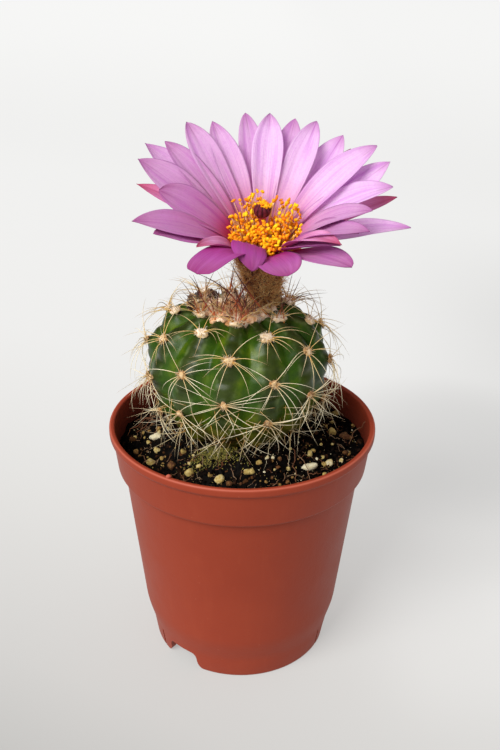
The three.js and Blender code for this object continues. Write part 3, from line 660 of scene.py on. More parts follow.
def petal_material():
    """Pale or deep by its tone, deep as painted shade on the front and left petals; crimson at the
    foot, with fine veins along the blade.
    """
    surface = Surface("petals", Specular_IOR_Level=0.16, Sheen_Weight=0.08, Sheen_Roughness=0.5)
    along, across, tone = surface.read("along", "across", "tone")
    veins = surface.lines(22, 1.3, 3, 0.6)
    bands = surface.lines(2.6, 1.6, 2, 0.5)
    light_bands = bands.band(0.3, 0.46, 1, 0)
    pale = along.ramp((0, 226, 96, 64), (0.12, 240, 146, 174), (0.26, 246, 190, 226),
                      (0.5, 254, 226, 255), (0.86, 248, 216, 250), (1, 216, 158, 212))
    pale = pale.mixed(veins.band(0.48, 0.72, 0, 0.4), (204, 108, 214))
    pale = pale.mixed(bands.band(0.5, 0.68, 0, 0.3), (206, 112, 220))
    pale = pale.mixed(light_bands * 0.3, (255, 226, 255))
    pale = pale.mixed(surface.noise(0.5, 3, 0.6).band(0.45, 0.7, 0, 0.18), (212, 128, 224))
    deep = along.ramp((0, 206, 58, 14), (0.18, 204, 36, 62), (0.4, 192, 22, 138), (0.75, 180, 22, 154),
                      (1, 162, 22, 112))
    deep = deep.mixed(veins.band(0.45, 0.75, 0, 0.35), (146, 20, 118))
    deep = deep.mixed(light_bands * 0.25, (208, 84, 200))
    depth = along.band(0.1, 0.5, 1.5, 1) * along.band(0.4, 0.95, 1, 0.85)
    # Painted shade: a petal's tone mixes in the deep magenta, most towards its foot.
    base = pale.mixed(tone * depth, deep)
    side = across.math("ABSOLUTE")
    midrib = side.band(0.02, 0.1, 0.4, 0) * along.band(0.75, 1)
    base = base.mixed(midrib, (150, 60, 130))
    base = base.mixed(side.band(0.92, 1, 0, 0.25), (166, 78, 160))
    surface.feed(Base_Color=base, Roughness=veins.band(0.3, 0.7, 0.52, 0.7))
    surface.bump(veins, 0.08)
    surface.let_light_through(0.36, base)
    return surface.material


def sepal_material():
    """Narrow outer blades, reddish along the middle and at the tip."""
    surface = Surface("sepals", Specular_IOR_Level=0.2)
    along, across = surface.read("along", "across")
    base = along.ramp((0, 196, 72, 104), (0.3, 218, 110, 166), (0.7, 238, 166, 216), (1, 200, 76, 112))
    base = base.mixed(across.math("ABSOLUTE").band(0.05, 0.35, 0.4, 0), (190, 72, 116))
    streaks = surface.lines(8, 1.6, 4, 0.6)
    base = base.mixed(streaks.band(0.45, 0.75, 0, 0.35), (184, 76, 132))
    surface.feed(Base_Color=base, Roughness=streaks.band(0.3, 0.7, 0.5, 0.65))
    surface.bump(streaks, 0.1)
    surface.let_light_through(0.3, base)
    return surface.material


def ramp_material(name, *stops, roughness=0.6, depth=0.05, size=0.3):
    """A colour that runs along each piece, with a fine grain."""
    surface = toned_surface(name, stops, (size, 3, 0.3, 0.7, 0.08), (size, 3, depth), "along",
                            Specular_IOR_Level=0.35)
    grain = surface.noise(size, 3)
    surface.feed(Roughness=grain.band(0.3, 0.7, roughness - 0.08, roughness + 0.08))
    return surface.material


def foot_step():
    """The soft shoulder where the wall draws in to the foot."""
    wall_slope = (WALL_TOP_RADIUS - WALL_BOTTOM_RADIUS) / (POT_HEIGHT - COLLAR_DEPTH - WALL_BOTTOM_HEIGHT)
    height = np.linspace(*SHOULDER_SPAN, 13)
    foot = FOOT_RADIUS + (FOOT_TOP_RADIUS - FOOT_RADIUS) * height / FOOT_TOP_HEIGHT
    wall = WALL_BOTTOM_RADIUS + wall_slope * (height - WALL_BOTTOM_HEIGHT)
    share = smooth(np.linspace(0, 1, len(height)))
    return list(zip(foot * (1 - share) + wall * share, height))


def pot_profile():
    collar_bottom = POT_HEIGHT - COLLAR_DEPTH
    lip_bottom = POT_HEIGHT - LIP_DEPTH
    underside = FLOOR_TOP - FLOOR_THICKNESS
    return [
        (0, underside),
        (FOOT_RADIUS - POT_WALL - 0.3, underside),
        (FOOT_RADIUS - POT_WALL - 0.4, 0),
        (FOOT_RADIUS, 0),
        *foot_step(),
        (WALL_TOP_RADIUS, collar_bottom - 0.5),
        (COLLAR_BOTTOM_RADIUS, collar_bottom + 0.2),
        (COLLAR_TOP_RADIUS, lip_bottom),
        (LIP_RADIUS, lip_bottom + 0.5),
        (LIP_RADIUS, POT_HEIGHT),
        (LIP_RADIUS - 1.35, POT_HEIGHT),
        (LIP_RADIUS - 1.5, POT_HEIGHT - 1.6),
        (COLLAR_BOTTOM_RADIUS - POT_WALL, collar_bottom + 0.2),
        (WALL_TOP_RADIUS - POT_WALL, collar_bottom - 1),
        (WALL_BOTTOM_RADIUS - POT_WALL, WALL_BOTTOM_HEIGHT),
        (FOOT_RADIUS - POT_WALL + 0.2, FLOOR_TOP),
        (0, FLOOR_TOP),
    ]


def pot_inside_radius(height):
    collar_bottom = POT_HEIGHT - COLLAR_DEPTH
    heights = [FLOOR_TOP, WALL_BOTTOM_HEIGHT, collar_bottom - 1, collar_bottom + 0.2, POT_HEIGHT - 1.6]
    radii = [FOOT_RADIUS + 0.2, WALL_BOTTOM_RADIUS, WALL_TOP_RADIUS, COLLAR_BOTTOM_RADIUS, LIP_RADIUS - 0.4]
    return np.interp(height, heights, radii) - POT_WALL


def prism(outline, low, high):
    """A block with the outline, points (across, height), from y low to y high."""
    outline = np.asarray(outline, float)
    count = len(outline)
    ends = [np.column_stack([outline[:, 0], np.full(count, y), outline[:, 1]]) for y in (low, high)]
    ring = np.arange(count)[None]
    after = (ring[0] + 1) % count
    sides = np.stack([ring[0] + count, after + count, after, ring[0]], axis=-1)
    return Shape(np.concatenate(ends), [ring, ring[:, ::-1] + count, sides])


def rotated(shape, azimuth):
    angle = np.radians(azimuth)
    turn = np.array([[np.cos(angle), -np.sin(angle), 0], [np.sin(angle), np.cos(angle), 0], [0, 0, 1]])
    return shape.placed(shape.points @ turn.T)


def notch_outline():
    """Half the flared arch, mirrored: from the foot up and over."""
    share = np.linspace(0, 1, 9)[:, None]
    foot, knee, wall = np.array([[NOTCH_FOOT_HALF, 0], [NOTCH_TOP_HALF, 0.5], [NOTCH_TOP_HALF, 2.8]])
    top, over = np.array([[NOTCH_TOP_HALF, NOTCH_HEIGHT], [NOTCH_TOP_HALF - 1.6, NOTCH_HEIGHT]])
    flare = curve(foot, knee, wall, share)
    crown = curve(wall, top, over, share)
    half = np.concatenate([[[NOTCH_FOOT_HALF, -1]], flare, crown[1:]])
    return np.concatenate([half, (half * [-1, 1])[::-1]])


def pot_cutters():
    """The notches and slits through the foot and the drainage holes through the floor."""
    cutters = []
    for azimuth in NOTCH_AZIMUTHS:
        cutters.append(rotated(prism(notch_outline(), -FOOT_RADIUS - 5, -FOOT_RADIUS + 4), azimuth))
        half = SLIT_WIDTH / 2
        slit = [(-half, -1), (half, -1), (half, NOTCH_HEIGHT + 0.5), (-half, NOTCH_HEIGHT + 0.5)]
        cutters.append(rotated(prism(slit, -FOOT_RADIUS - 2, -FOOT_RADIUS + 2.2), azimuth + SLIT_STEP))
        path = azimuth_vector(azimuth, DRAIN_RING_RADIUS, np.array([FLOOR_TOP - 3, FLOOR_TOP + 2]))
        cutters.append(tubes(path[None], DRAIN_RADIUS, sides=32))
    return joined(cutters)


def sharpen(piece, degrees):
    """Shades a piece smooth but for the edges that turn by more than degrees."""
    mesh = bmesh.new()
    mesh.from_mesh(piece.data)
    for face in mesh.faces:
        face.smooth = True
    for edge in mesh.edges:
        edge.smooth = len(edge.link_faces) == 2 and edge.calc_face_angle(0) < np.radians(degrees)
    mesh.to_mesh(piece.data)
    mesh.free()


def make_pot():
    shape = lathe(rounded(pot_profile(), reach=0.55), sides=240)
    height = shape.points[:, 2]
    radius = np.hypot(shape.points[:, 0], shape.points[:, 1])
    inner = (radius < pot_inside_radius(height) + 0.3) & (height > FLOOR_TOP - 0.1)
    # Where the lip's painted highlight goes: its outer top edge.
    on_lip = smooth((height - POT_HEIGHT + 0.4) / 0.3)
    shape.values["edge"] = on_lip * smooth((radius - LIP_RADIUS + 0.5) / 0.3)
    # Rises from 0 near the lip to 1 deeper inside: it paints shade there and roughens the wall.
    shape.values["inside"] = np.where(inner, smooth((POT_HEIGHT - 1 - height) / 4), 0)
    plastic = pot_material()
    pot = add_piece("nursery_pot", shape, plastic, "pot")
    cutter = mesh_object("cutter", pot_cutters(), plastic)
    cut = pot.modifiers.new("cut", "BOOLEAN")
    cut.operation = "DIFFERENCE"
    cut.solver = "EXACT"
    cut.object = cutter
    bpy.context.view_layer.update()
    evaluated = pot.evaluated_get(bpy.context.evaluated_depsgraph_get())
    pot.data = bpy.data.meshes.new_from_object(evaluated)
    pot.modifiers.clear()
    bpy.data.objects.remove(cutter)
    sharpen(pot, 35)
    rng = np.random.default_rng(2)
    bead = azimuth_vector([BEAD_AZIMUTH], LIP_RADIUS - 0.9, POT_HEIGHT + 0.1)
    # The bead's edge value of 1 gives it its own pink, by the same mix as the lip's painted highlight.
    shape = blobs(bead, BEAD_SIZE, turned(1, rng), rng, level=4, lumpiness=0.02, edge=[1.0], inside=[0.0])
    add_piece("lip_bead", shape, plastic, "pot")


def mound(radius):
    """The soil's height but for its roughness, highest round the stem."""
    rise = 1 - smooth((radius - 14) / 13)
    return SOIL_EDGE + (SOIL_MIDDLE - SOIL_EDGE) * rise


def soil_top(x, y):
    flat = np.stack([x, y, np.zeros_like(x)], axis=-1).reshape(-1, 3)
    rough = layered_noise(flat, size=4.2, layers=5, seed=3).reshape(np.shape(x))
    return mound(np.hypot(x, y)) + SOIL_ROUGHNESS * rough


def on_soil(x, y, above=0.0):
    return np.stack([x, y, soil_top(x, y) + above], axis=-1)


def scattered(rng, count, inner, outer):
    """Places spread evenly over the soil between two distances from the pot's axis."""
    radius = np.sqrt(rng.uniform(inner**2, outer**2, count))
    place = azimuth_vector(rng.uniform(0, 360, count), radius)
    return place[:, 0], place[:, 1]


def make_soil():
    bottom = FLOOR_TOP + 0.3
    edge = pot_inside_radius(SOIL_EDGE) - 0.12
    heights = (bottom, WALL_BOTTOM_HEIGHT, 30, 50.1, 51.4, 53.5)
    wall = [(pot_inside_radius(height) - 0.3, height) for height in heights]
    surface = [(radius, SOIL_EDGE) for radius in np.linspace(edge, 9, 84)]
    shape = lathe([(0, bottom), *wall, *surface, (0, SOIL_MIDDLE)], sides=300)
    x, y, z = shape.points.T
    on_top = z >= SOIL_EDGE - 0.01
    shape.points[on_top, 2] = soil_top(x[on_top], y[on_top])
    shape.values["tone"] = 0.18 + 0.1 * noise(shape.points, size=6, seed=5)
    soil = soil_material()
    add_piece("soil_bed", shape, soil, "soil")
    add_crumbs(soil)
    add_grit()
    add_fibres()
    add_moss()


def add_crumbs(material):
    """Peat crumbs and shreds of bark over the whole surface."""
    rng = np.random.default_rng(4)
    count = 3400
    x, y = scattered(rng, count, inner=12, outer=29.4)
    size = grain_sizes(rng, count, least=0.16, more=0.17, most=0.95, low=0.5, high=1.25)
    tone = rng.beta(1.2, 3, count)
    places, turns = on_soil(x, y, above=0.05), turned(count, rng)
    crumbs = blobs(places, size, turns, rng, level=1, lumpiness=0.3, tone=tone)
    add_piece("peat_crumbs", crumbs, material, "soil", flat=True)


def grain_sizes(rng, count, least, more, most, low, high):
    """Three half sizes for each of many small grains and a few larger ones."""
    size = np.minimum(least + rng.exponential(more, count), most)
    return size[:, None] * rng.uniform(low, high, (count, 3))


def pumice_material():
    stops = (0, 82, 46, 22), (0.25, 128, 92, 44), (0.6, 180, 156, 88), (1, 214, 204, 172)
    surface = toned_surface("pumice", stops, (0.6, 4, 0.25, 0.75, 0.2), (0.2, 4, 0.7, 0.16),
                            Specular_IOR_Level=0.3, Roughness=0.85)
    pits = surface.dots(0.3).band(0.1, 0.22, 0.5, 0)
    surface.feed(Base_Color=surface.colour.mixed(pits, (96, 72, 44)))
    return surface.material


def chipped(directions, count, rng, cuts=9):
    """How far out each direction reaches in a round grain, up to 1, once flats are broken off it."""
    directions = directions.reshape(count, -1, 3)
    facing = random_units(rng, count * cuts).reshape(count, cuts, 3)
    level = rng.uniform(0.62, 0.95, (count, cuts, 1))
    reach = level / np.maximum(np.einsum("nkj,npj->nkp", facing, directions), 0.05)
    return np.minimum(reach.min(axis=1), 1).ravel()


def add_grit():
    """The larger grains, smaller ones drawn at random, and specks."""
    rng = np.random.default_rng(8)
    marked_x, marked_y, *marked_sizes, marked_tone = np.array(GRAINS).T
    count = 150
    x, y = scattered(rng, count, inner=15.5, outer=28.6)
    sizes = grain_sizes(rng, count, least=0.22, more=0.2, most=1, low=0.65, high=1.2)
    sizes = np.concatenate([np.stack(marked_sizes, axis=-1), sizes])
    tone = np.concatenate([marked_tone, rng.uniform(0, 0.75, count)])
    x, y = np.concatenate([marked_x, x]), np.concatenate([marked_y, y])
    tilt = np.stack([*(0.5 * rng.normal(size=(2, len(x)))), np.ones(len(x))], axis=-1)
    turns = frames_along(tilt, rng)
    turns[np.argmax(marked_sizes[0])] = LONGEST_GRAIN_TURN
    centres = on_soil(x, y, 0.25 * sizes[:, 2])
    shape = blobs(centres, sizes, turns, rng, tone=tone)
    away = outward(shape, centres)
    spread = chipped(unit(away), len(centres), rng)
    spread += 0.2 * noise(shape.points, size=0.9, seed=2)
    spread += 0.08 * noise(shape.points, size=0.35, seed=4)
    shape.points += away * (spread[:, None] - 1)
    pumice = pumice_material()
    add_piece("pumice_grains", shape, pumice, "soil")
    count = 520
    x, y = scattered(rng, count, inner=13, outer=29.2)
    size = grain_sizes(rng, count, least=0.07, more=0.05, most=0.24, low=0.7, high=1.2)
    places, turns = on_soil(x, y, above=0.1), turned(count, rng)
    tone = rng.uniform(0.2, 1, count)
    specks = blobs(places, size, turns, rng, level=1, lumpiness=0.2, tone=tone)
    add_piece("pale_specks", specks, pumice, "soil", flat=True)


def wandering(starts, ends, rng, sag, steps):
    """Paths from starts to ends that wander a little on the way."""
    share = np.linspace(0, 1, steps)[None, :, None]
    drift = np.cumsum(rng.normal(size=(len(starts), steps, 3)), axis=1)
    drift -= drift[:, :1] + (drift[:, -1:] - drift[:, :1]) * share
    span = np.linalg.norm(ends - starts, axis=1)[:, None, None]
    return starts[:, None] * (1 - share) + ends[:, None] * share + drift * sag * span


def add_fibres():
    """The roots in view and many finer ones drawn at random."""
    rng = np.random.default_rng(15)
    start_x, start_y, end_x, end_y, start_rise, end_rise, tone = np.array(ROOTLETS).T
    starts, ends = on_soil(start_x, start_y, start_rise), on_soil(end_x, end_y, end_rise)
    paths = wandering(starts, ends, rng, sag=0.035, steps=14)
    marked = tubes(paths, 0.085, sides=5, tone=tone)
    count = 260
    x, y = scattered(rng, count, inner=14, outer=28.8)
    heading = azimuth_vector(rng.uniform(0, 360, count), rng.uniform(1.2, 4.5, count))
    end_x, end_y = x + heading[:, 0], y + heading[:, 1]
    far = np.minimum(np.hypot(end_x, end_y), 29.2)
    angle = np.arctan2(end_y, end_x)
    ends = on_soil(far * np.cos(angle), far * np.sin(angle), 0.15)
    paths = wandering(on_soil(x, y, above=0.1), ends, rng, sag=0.06, steps=9)
    radii = rng.uniform(0.035, 0.08, count)[:, None]
    fine = tubes(paths, radii, sides=4, tone=rng.uniform(0, 0.8, count))
    stops = (0, 150, 126, 98), (0.4, 122, 86, 60), (0.75, 116, 66, 38), (1, 84, 44, 26)
    surface = toned_surface("rootlets", stops, (1.2, 3, 0.3, 0.7, 0.15), (0.25, 2, 0.04),
                            Roughness=0.75, Specular_IOR_Level=0.3)
    add_piece("rootlets", joined([marked, fine]), surface.material, "soil")


def add_moss():
    """A mossy patch at the front foot of the stem: small pointed leaves in tufts."""
    rng = np.random.default_rng(23)
    count = 1500
    spread = rng.normal(size=(count, 2)) * [2.7, 1.3]
    x, y = -6.4 + spread[:, 0], -15.2 + spread[:, 1] - 0.03 * spread[:, 0] ** 2
    lift = rng.uniform(0, 0.7, count) * np.exp(-((spread / [3.4, 1.8]) ** 2).sum(axis=1))
    roots = on_soil(x, y, lift)
    directions = unit(np.stack([*rng.normal(size=(2, count)) * 0.8, np.ones(count)]).T)
    lengths = rng.uniform(0.25, 0.6, count)
    share = np.array([0, 0.5, 1])[None, :, None]
    paths = roots[:, None] + directions[:, None] * share * lengths[:, None, None]
    leaves = tubes(paths, (0.05, 0.09, 0.012), sides=4, tone=rng.beta(1.6, 2, count))
    surface = Surface("moss", Roughness=0.8)
    stops = (0, 50, 54, 20), (0.45, 110, 106, 42), (0.75, 162, 148, 66), (1, 214, 190, 70)
    surface.feed(Base_Color=surface.read("tone").ramp(*stops))
    surface.bump(surface.noise(0.2, 2), 0.03)
    add_piece("moss", leaves, surface.material, "soil")


def body_line():
    """Radius, height and distance from the apex along the body's outline, from the apex down."""
    angle = np.linspace(np.pi / 2, -np.pi / 2, 6001)
    low = angle < 0
    taper = np.where(low, ROOT_TAPER, CROWN_FLATNESS)
    radius = WAIST_RADIUS * np.clip(np.cos(angle), 0, 1) ** taper
    dimple = np.where(low, 0, DIMPLE_DEPTH * np.exp(-((radius / DIMPLE_RADIUS) ** 2)))
    height = WAIST_HEIGHT + np.where(low, ROOT_DROP, CROWN_RISE) * np.sin(angle) - dimple
    steps = np.hypot(np.diff(radius), np.diff(height))
    return radius, height, np.concatenate([[0], np.cumsum(steps)])


LINE_RADIUS, LINE_HEIGHT, LINE_DISTANCE = body_line()
LINE_LENGTH = LINE_DISTANCE[-1]


def on_line(distance):
    """The radius and height at distances from the apex."""
    return (np.interp(distance, LINE_DISTANCE, line) for line in (LINE_RADIUS, LINE_HEIGHT))


def rib_phase(azimuth, distance):
    """How far across its rib a point lies, from -0.5 to 0.5, and how far from an areole along it."""
    along = (azimuth - FIRST_RIB_AZIMUTH - RIB_TWIST * distance) * RIB_COUNT / 360
    rib = np.round(along)
    step = (distance - FIRST_AREOLE) / AREOLE_STEP - rib * AREOLE_STAGGER
    return along - rib, step


def crest_of(azimuth, distance):
    """1 on the crest of a rib and 0 in the groove."""
    across, _ = rib_phase(azimuth, distance)
    return np.cos(np.pi * across) ** 1.3


def rib_rise(azimuth, distance):
    _, step = rib_phase(azimuth, distance)
    crest = crest_of(azimuth, distance)
    swell = RIB_SWELL * np.cos(2 * np.pi * step) ** 3 * crest
    fade = smooth((distance - 3) / 8) * smooth((LINE_LENGTH - distance - 8) / 10)
    groove = RIB_GROOVE * (0.85 - 0.45 * smooth((distance - 18) / 14))
    return fade * ((RIB_CREST + groove) * crest - groove + swell)


def skin(azimuth, distance):
    """Points on the skin with the way out of it and the way uphill."""
    azimuth, distance = np.broadcast_arrays(azimuth, distance)
    radius, height = on_line(distance)
    reach = 0.1
    up = [near - far for near, far in zip(on_line(distance - reach), on_line(distance + reach))]
    length = np.hypot(*up)
    up_radius, up_height = up[0] / length, up[1] / length
    out = azimuth_vector(azimuth, up_height, -up_radius)
    uphill = azimuth_vector(azimuth, up_radius, up_height)
    points = azimuth_vector(azimuth, radius, height) + rib_rise(azimuth, distance)[..., None] * out
    return points + [BODY_X, 0, 0], out, uphill


def make_body():
    sides = RIB_COUNT * SIDES_PER_RIB
    distance = np.concatenate([np.linspace(0.15, 48, 170), np.linspace(49.5, LINE_LENGTH - 0.3, 6)])
    azimuth = (np.arange(sides) * 360 / sides)[None] + (RIB_TWIST * distance)[:, None]
    points, out, _ = skin(azimuth, distance[:, None])
    flat = points.reshape(-1, 3)
    uneven = 0.12 * noise(flat, size=5, seed=1) + 0.05 * noise(flat, size=1.6, seed=2)
    rings = points + uneven.reshape(azimuth.shape)[..., None] * out
    apex, root = ([BODY_X, 0, LINE_HEIGHT[end]] for end in (0, -1))
    crest = np.append(crest_of(azimuth, distance[:, None]), [0.5, 0.5])
    age = np.append(np.repeat(distance / 48, sides), [0, 1.5])
    shape = closed_skin(rings, apex, root, inside_out=True, crest=crest, age=age)
    add_piece("cactus_body", shape, skin_material(), "cactus_stem")


def lattice(first_step, last_step):
    """Azimuth and distance from the apex of the areoles, in the spiral that the ribs share."""
    steps = np.arange(first_step, last_step + 1)
    rib, step = (grid.ravel() for grid in np.meshgrid(np.arange(RIB_COUNT), steps, indexing="ij"))
    distance = FIRST_AREOLE + AREOLE_STEP * (step + (rib * AREOLE_STAGGER) % 1)
    return FIRST_RIB_AZIMUTH + rib * 360 / RIB_COUNT + RIB_TWIST * distance, distance


def areoles():
    """The areoles that stand clear of the soil and of the crown's wool."""
    azimuth, distance = lattice(-1, 4)
    points, _, _ = skin(azimuth, distance)
    clear = points[:, 2] - mound(np.hypot(points[:, 0], points[:, 1]))
    keep = (distance > 5) & (clear > AREOLE_CLEARANCE)
    return azimuth[keep], distance[keep]


def headings_at(bearings, outs, uphills):
    """The ways along the skin at bearings in radians from uphill."""
    bearings = bearings[:, None]
    return np.cos(bearings) * uphills + np.sin(bearings) * np.cross(outs, uphills)


def arcs(roots, headings, outs, leans, lengths, bends, swerves, steps=9):
    """Paths that leave their roots at a lean off the skin and bend back towards it."""
    numbers = (leans, lengths, bends, swerves)
    numbers = (np.broadcast_to(number, len(roots))[:, None, None] for number in numbers)
    leans, lengths, bends, swerves = numbers
    share = np.linspace(0, 1, steps)[:, None]
    angle = np.radians(leans - bends * (share[:-1] + share[1:]) / 2)
    moves = np.cos(angle) * headings[:, None] + np.sin(angle) * outs[:, None]
    moves = np.cumsum(moves * (lengths / (steps - 1)), axis=1)
    paths = roots[:, None] + np.concatenate([np.zeros((len(roots), 1, 3)), moves], axis=1)
    side = np.cross(outs, headings)
    return paths + side[:, None] * (swerves * lengths) * share**2


def radial_spines(rng):
    """Up to eleven spines round each areole: golden near the crown, white and spread lower down."""
    azimuth, distance = areoles()
    points, out, uphill = skin(azimuth, distance)
    chosen = []
    for areole, far in enumerate(distance):
        for spine in rng.permutation(len(SPINE_BEARINGS))[: rng.integers(9, 12)]:
            if far < 12 and 120 < SPINE_BEARINGS[spine] < 240 and rng.random() < 0.3:
                continue
            chosen.append((areole, SPINE_BEARINGS[spine] + rng.normal() * 8))
    which, bearing = (np.array(column) for column in zip(*chosen))
    far, points, out, uphill = (values[which] for values in (distance, points, out, uphill))
    old = smooth((far - 14) / 16)
    young = 1 - smooth((far - 8) / 16)
    level = np.where(bearing < 180, 90, 270)
    bearing = np.radians(bearing + 0.35 * old * (level - bearing))
    heading = headings_at(bearing, out, uphill)
    count = len(which)
    lean = 26 + 20 * young + 8 * rng.normal(size=count)
    length = (8.2 - young + 1.2 * np.maximum(np.cos(bearing), 0)) * rng.uniform(0.75, 1.25, count)
    length += 2.4 * old * np.abs(np.sin(bearing)) * rng.random(count)
    bend = rng.uniform(26, 66, count)
    swerve = 0.4 * np.sin(bearing) + 0.15 * rng.normal(size=count)
    paths = arcs(points + 0.35 * out + 0.45 * heading, heading, out, lean, length, bend, swerve)
    tone = 0.46 * (1 - old) + 0.12 * rng.uniform(-1, 1, count) + 0.5 * young * rng.random(count) ** 4
    return paths, np.clip(tone, 0, 1)


def crown_spines(rng):
    """Tufts of young spines that stand up out of the woolly crown, one for each areole there."""
    azimuth, distance = lattice(-1, 0)
    near = distance < 13
    azimuth, distance = np.repeat(azimuth[near], 5), np.repeat(distance[near], 5)
    count = len(azimuth)
    azimuth = azimuth + rng.normal(size=count) * 3
    points, out, _ = skin(azimuth, distance + 0.5 * rng.normal(size=count))
    upright = unit(out * 0.4 + [0, 0, 0.8] + 0.25 * rng.normal(size=points.shape))
    random = random_units(rng, count)
    across = unit(random - (random * upright).sum(axis=1, keepdims=True) * upright)
    lean = rng.uniform(52, 86, count)
    length = rng.uniform(4.5, 10, count)
    bend = rng.uniform(-10, 34, count)
    paths = arcs(points, across, upright, lean, length, bend, 0.1 * rng.normal(size=count))
    return paths, rng.uniform(0.75, 1, count)


def marked_spines(_):
    """The long dark ones, each through its own three points."""
    root, middle, tip = np.array(MARKED_SPINES, float).transpose(1, 0, 2)[:, :, None]
    control = 2 * middle - (root + tip) / 2
    paths = curve(root, control, tip, np.linspace(0, 1, len(SPINE_TAPER))[None, :, None])
    return paths, np.ones(len(MARKED_SPINES))


def foot_spines(rng):
    """The dense tangle of old spines where the stem meets the soil."""
    count = 320
    azimuth = rng.uniform(0, 360, count)
    distance = rng.uniform(31, 44, count)
    points, out, uphill = skin(azimuth, distance)
    sideways = rng.random(count) < 0.5
    level = rng.choice([-1, 1], count) * rng.normal(100, 26, count)
    bearing = np.radians(np.where(sideways, level, rng.normal(180, 38, count)))
    heading = headings_at(bearing, out, uphill)
    lean = rng.uniform(8, 62, count)
    length = rng.uniform(3, 10, count) * np.where(sideways, 1.3, 1)
    bend = rng.uniform(-12, 30, count)
    paths = arcs(points + 0.1 * out, heading, out, lean, length, bend, 0.14 * rng.normal(size=count))
    return paths, 0.34 * rng.random(count)


def keep_clear(paths):
    """Bends the spines' points that would dip into the soil or the pot's wall back out of them."""
    x, y, z = paths[..., 0], paths[..., 1], paths[..., 2]
    radius = np.hypot(x, y)
    wall = pot_inside_radius(np.clip(z, 50, POT_HEIGHT)) - 0.3
    shrink = np.where((z < POT_HEIGHT + 0.5) & (radius > wall), wall / radius, 1)
    paths = paths * np.stack([shrink, shrink, np.ones_like(shrink)], axis=-1)
    ground = soil_top(paths[..., 0], paths[..., 1]) + 0.15
    paths[..., 2] = np.maximum(paths[..., 2], ground)
    return paths


def make_spines():
    rng = np.random.default_rng(5)
    material = spine_material()
    thickness = {radial_spines: 0.073, crown_spines: 0.12, marked_spines: 0.18, foot_spines: 0.046}
    for kind, thick in thickness.items():
        paths, tone = kind(rng)
        radii = thick * SPINE_TAPER * rng.uniform(0.85, 1.15, len(paths))[:, None]
        spines = tubes(keep_clear(paths), radii, sides=5, tone=tone)
        add_piece(kind.__name__, spines, material, "cactus_stem")


def make_areole_wool():
    """A pad of wool on each areole: one lump, two smaller ones at its sides and loose hairs."""
    rng = np.random.default_rng(6)
    lumps, hairs_each = 3, 34
    azimuth, distance = (np.repeat(column, lumps) for column in areoles())
    points, out, uphill = skin(azimuth, distance)
    side = np.cross(out, uphill)
    young = 1 - smooth((distance - 9) / 24)
    half = np.stack([0.85 + 0.95 * young**1.5, 0.95 + 0.35 * young, 0.5 + 0.3 * young], axis=-1)
    count = len(azimuth)
    beside = np.arange(count)[:, None] % lumps > 0
    shift = rng.uniform(-0.6, 0.6, (2, count))[:, :, None] * half[:, :1] * beside
    centres = points + 0.15 * out + shift[0] * side + 0.6 * shift[1] * uphill
    half *= np.where(beside, rng.uniform(0.5, 0.75, (count, 1)), 0.88)
    turns = np.stack([side, uphill, out], axis=-1)
    tone = 0.34 + 0.5 * young + 0.1 * rng.normal(size=count)
    pads = blobs(centres, half, turns, rng, tone=tone)
    away = outward(pads, centres)
    stands = (away * np.repeat(out, len(away) // count, axis=0)).sum(axis=1)
    pads.values["tone"] -= 0.34 * (1 - smooth(stands / 0.5))
    pads = roughened(pads, centres, amount=0.4, size=0.6, seed=6)
    which = np.repeat(np.arange(count), hairs_each)
    facing = random_units(rng, len(which))
    facing[:, 2] = np.abs(facing[:, 2])
    roots = centres[which] + np.einsum("nij,nj->ni", turns[which], facing * half[which] * 0.92)
    facing = facing + 0.5 * rng.normal(size=facing.shape)
    direction = np.einsum("nij,nj->ni", turns[which], facing)
    length = rng.uniform(0.25, 0.8, len(which)) * (0.6 + 0.6 * young[which])
    tone = tone[which] + 0.16 * rng.normal(size=len(which))
    fur = hairs(roots, direction, length, rng, tone, radius=0.05, curl=0.4)
    wool = fuzz_material("areole_wool", (158, 98, 34), (216, 184, 134), (252, 238, 218))
    add_piece("areole_wool", pads, wool, "cactus_stem")
    add_piece("areole_hairs", fur, wool, "cactus_stem")


def make_crown_wool():
    """The felted crown: tufts side by side over the dimple, with loose hairs out of them."""
    rng = np.random.default_rng(7)
    count, hairs_each = 150, 21
    azimuth = rng.uniform(0, 360, count)
    distance = 8.2 * rng.random(count) ** 0.6
    points, out, _ = skin(azimuth, distance)
    size = rng.uniform(0.7, 1.45, count)[:, None] * [1, 1, 0.8]
    tone = 0.26 + 0.44 * rng.random(count) + 0.45 * rng.random(count) * (distance > 6)
    turns = frames_along(out + 0.2 * rng.normal(size=out.shape), rng)
    centres = points + 0.2 * out
    tufts = blobs(centres, size, turns, rng, tone=tone)
    tufts = roughened(tufts, centres, amount=0.4, size=0.6, seed=8)
    which = np.repeat(np.arange(count), hairs_each)
    direction = unit(out[which] + 0.75 * rng.normal(size=(len(which), 3)))
    roots = centres[which] + direction * size[which] * 0.8
    length = rng.uniform(0.5, 1.5, len(which))
    tone = tone[which] + 0.14 * rng.normal(size=len(which))
    fur = hairs(roots, direction, length, rng, tone, radius=0.04, curl=0.3)
    wool = fuzz_material("crown_wool", (156, 88, 40), (238, 178, 120), (255, 242, 220))
    add_piece("crown_wool", tufts, wool, "cactus_stem")
    add_piece("crown_hairs", fur, wool, "cactus_stem")


def make_dry_remains():
    """Shrivelled brown remains of earlier flowers at the crown's edge."""
    rng = np.random.default_rng(12)
    count = 26
    azimuth = rng.normal(236, 26, count)
    distance = rng.uniform(7.5, 12.5, count)
    points, out, _ = skin(azimuth, distance)
    size = rng.uniform(0.5, 1.35, (count, 3)) * [1.2, 0.8, 0.35]
    centres = points + out * rng.uniform(0.6, 2, count)[:, None]
    shape = blobs(centres, size, turned(count, rng), rng, tone=rng.random(count))
    dry = fuzz_material("dry_remains", (38, 24, 16), (104, 70, 40), (168, 126, 80), 0.5)
    shape = roughened(shape, centres, amount=0.45, size=0.7, seed=9)
    add_piece("dry_remains", shape, dry, "cactus_stem")


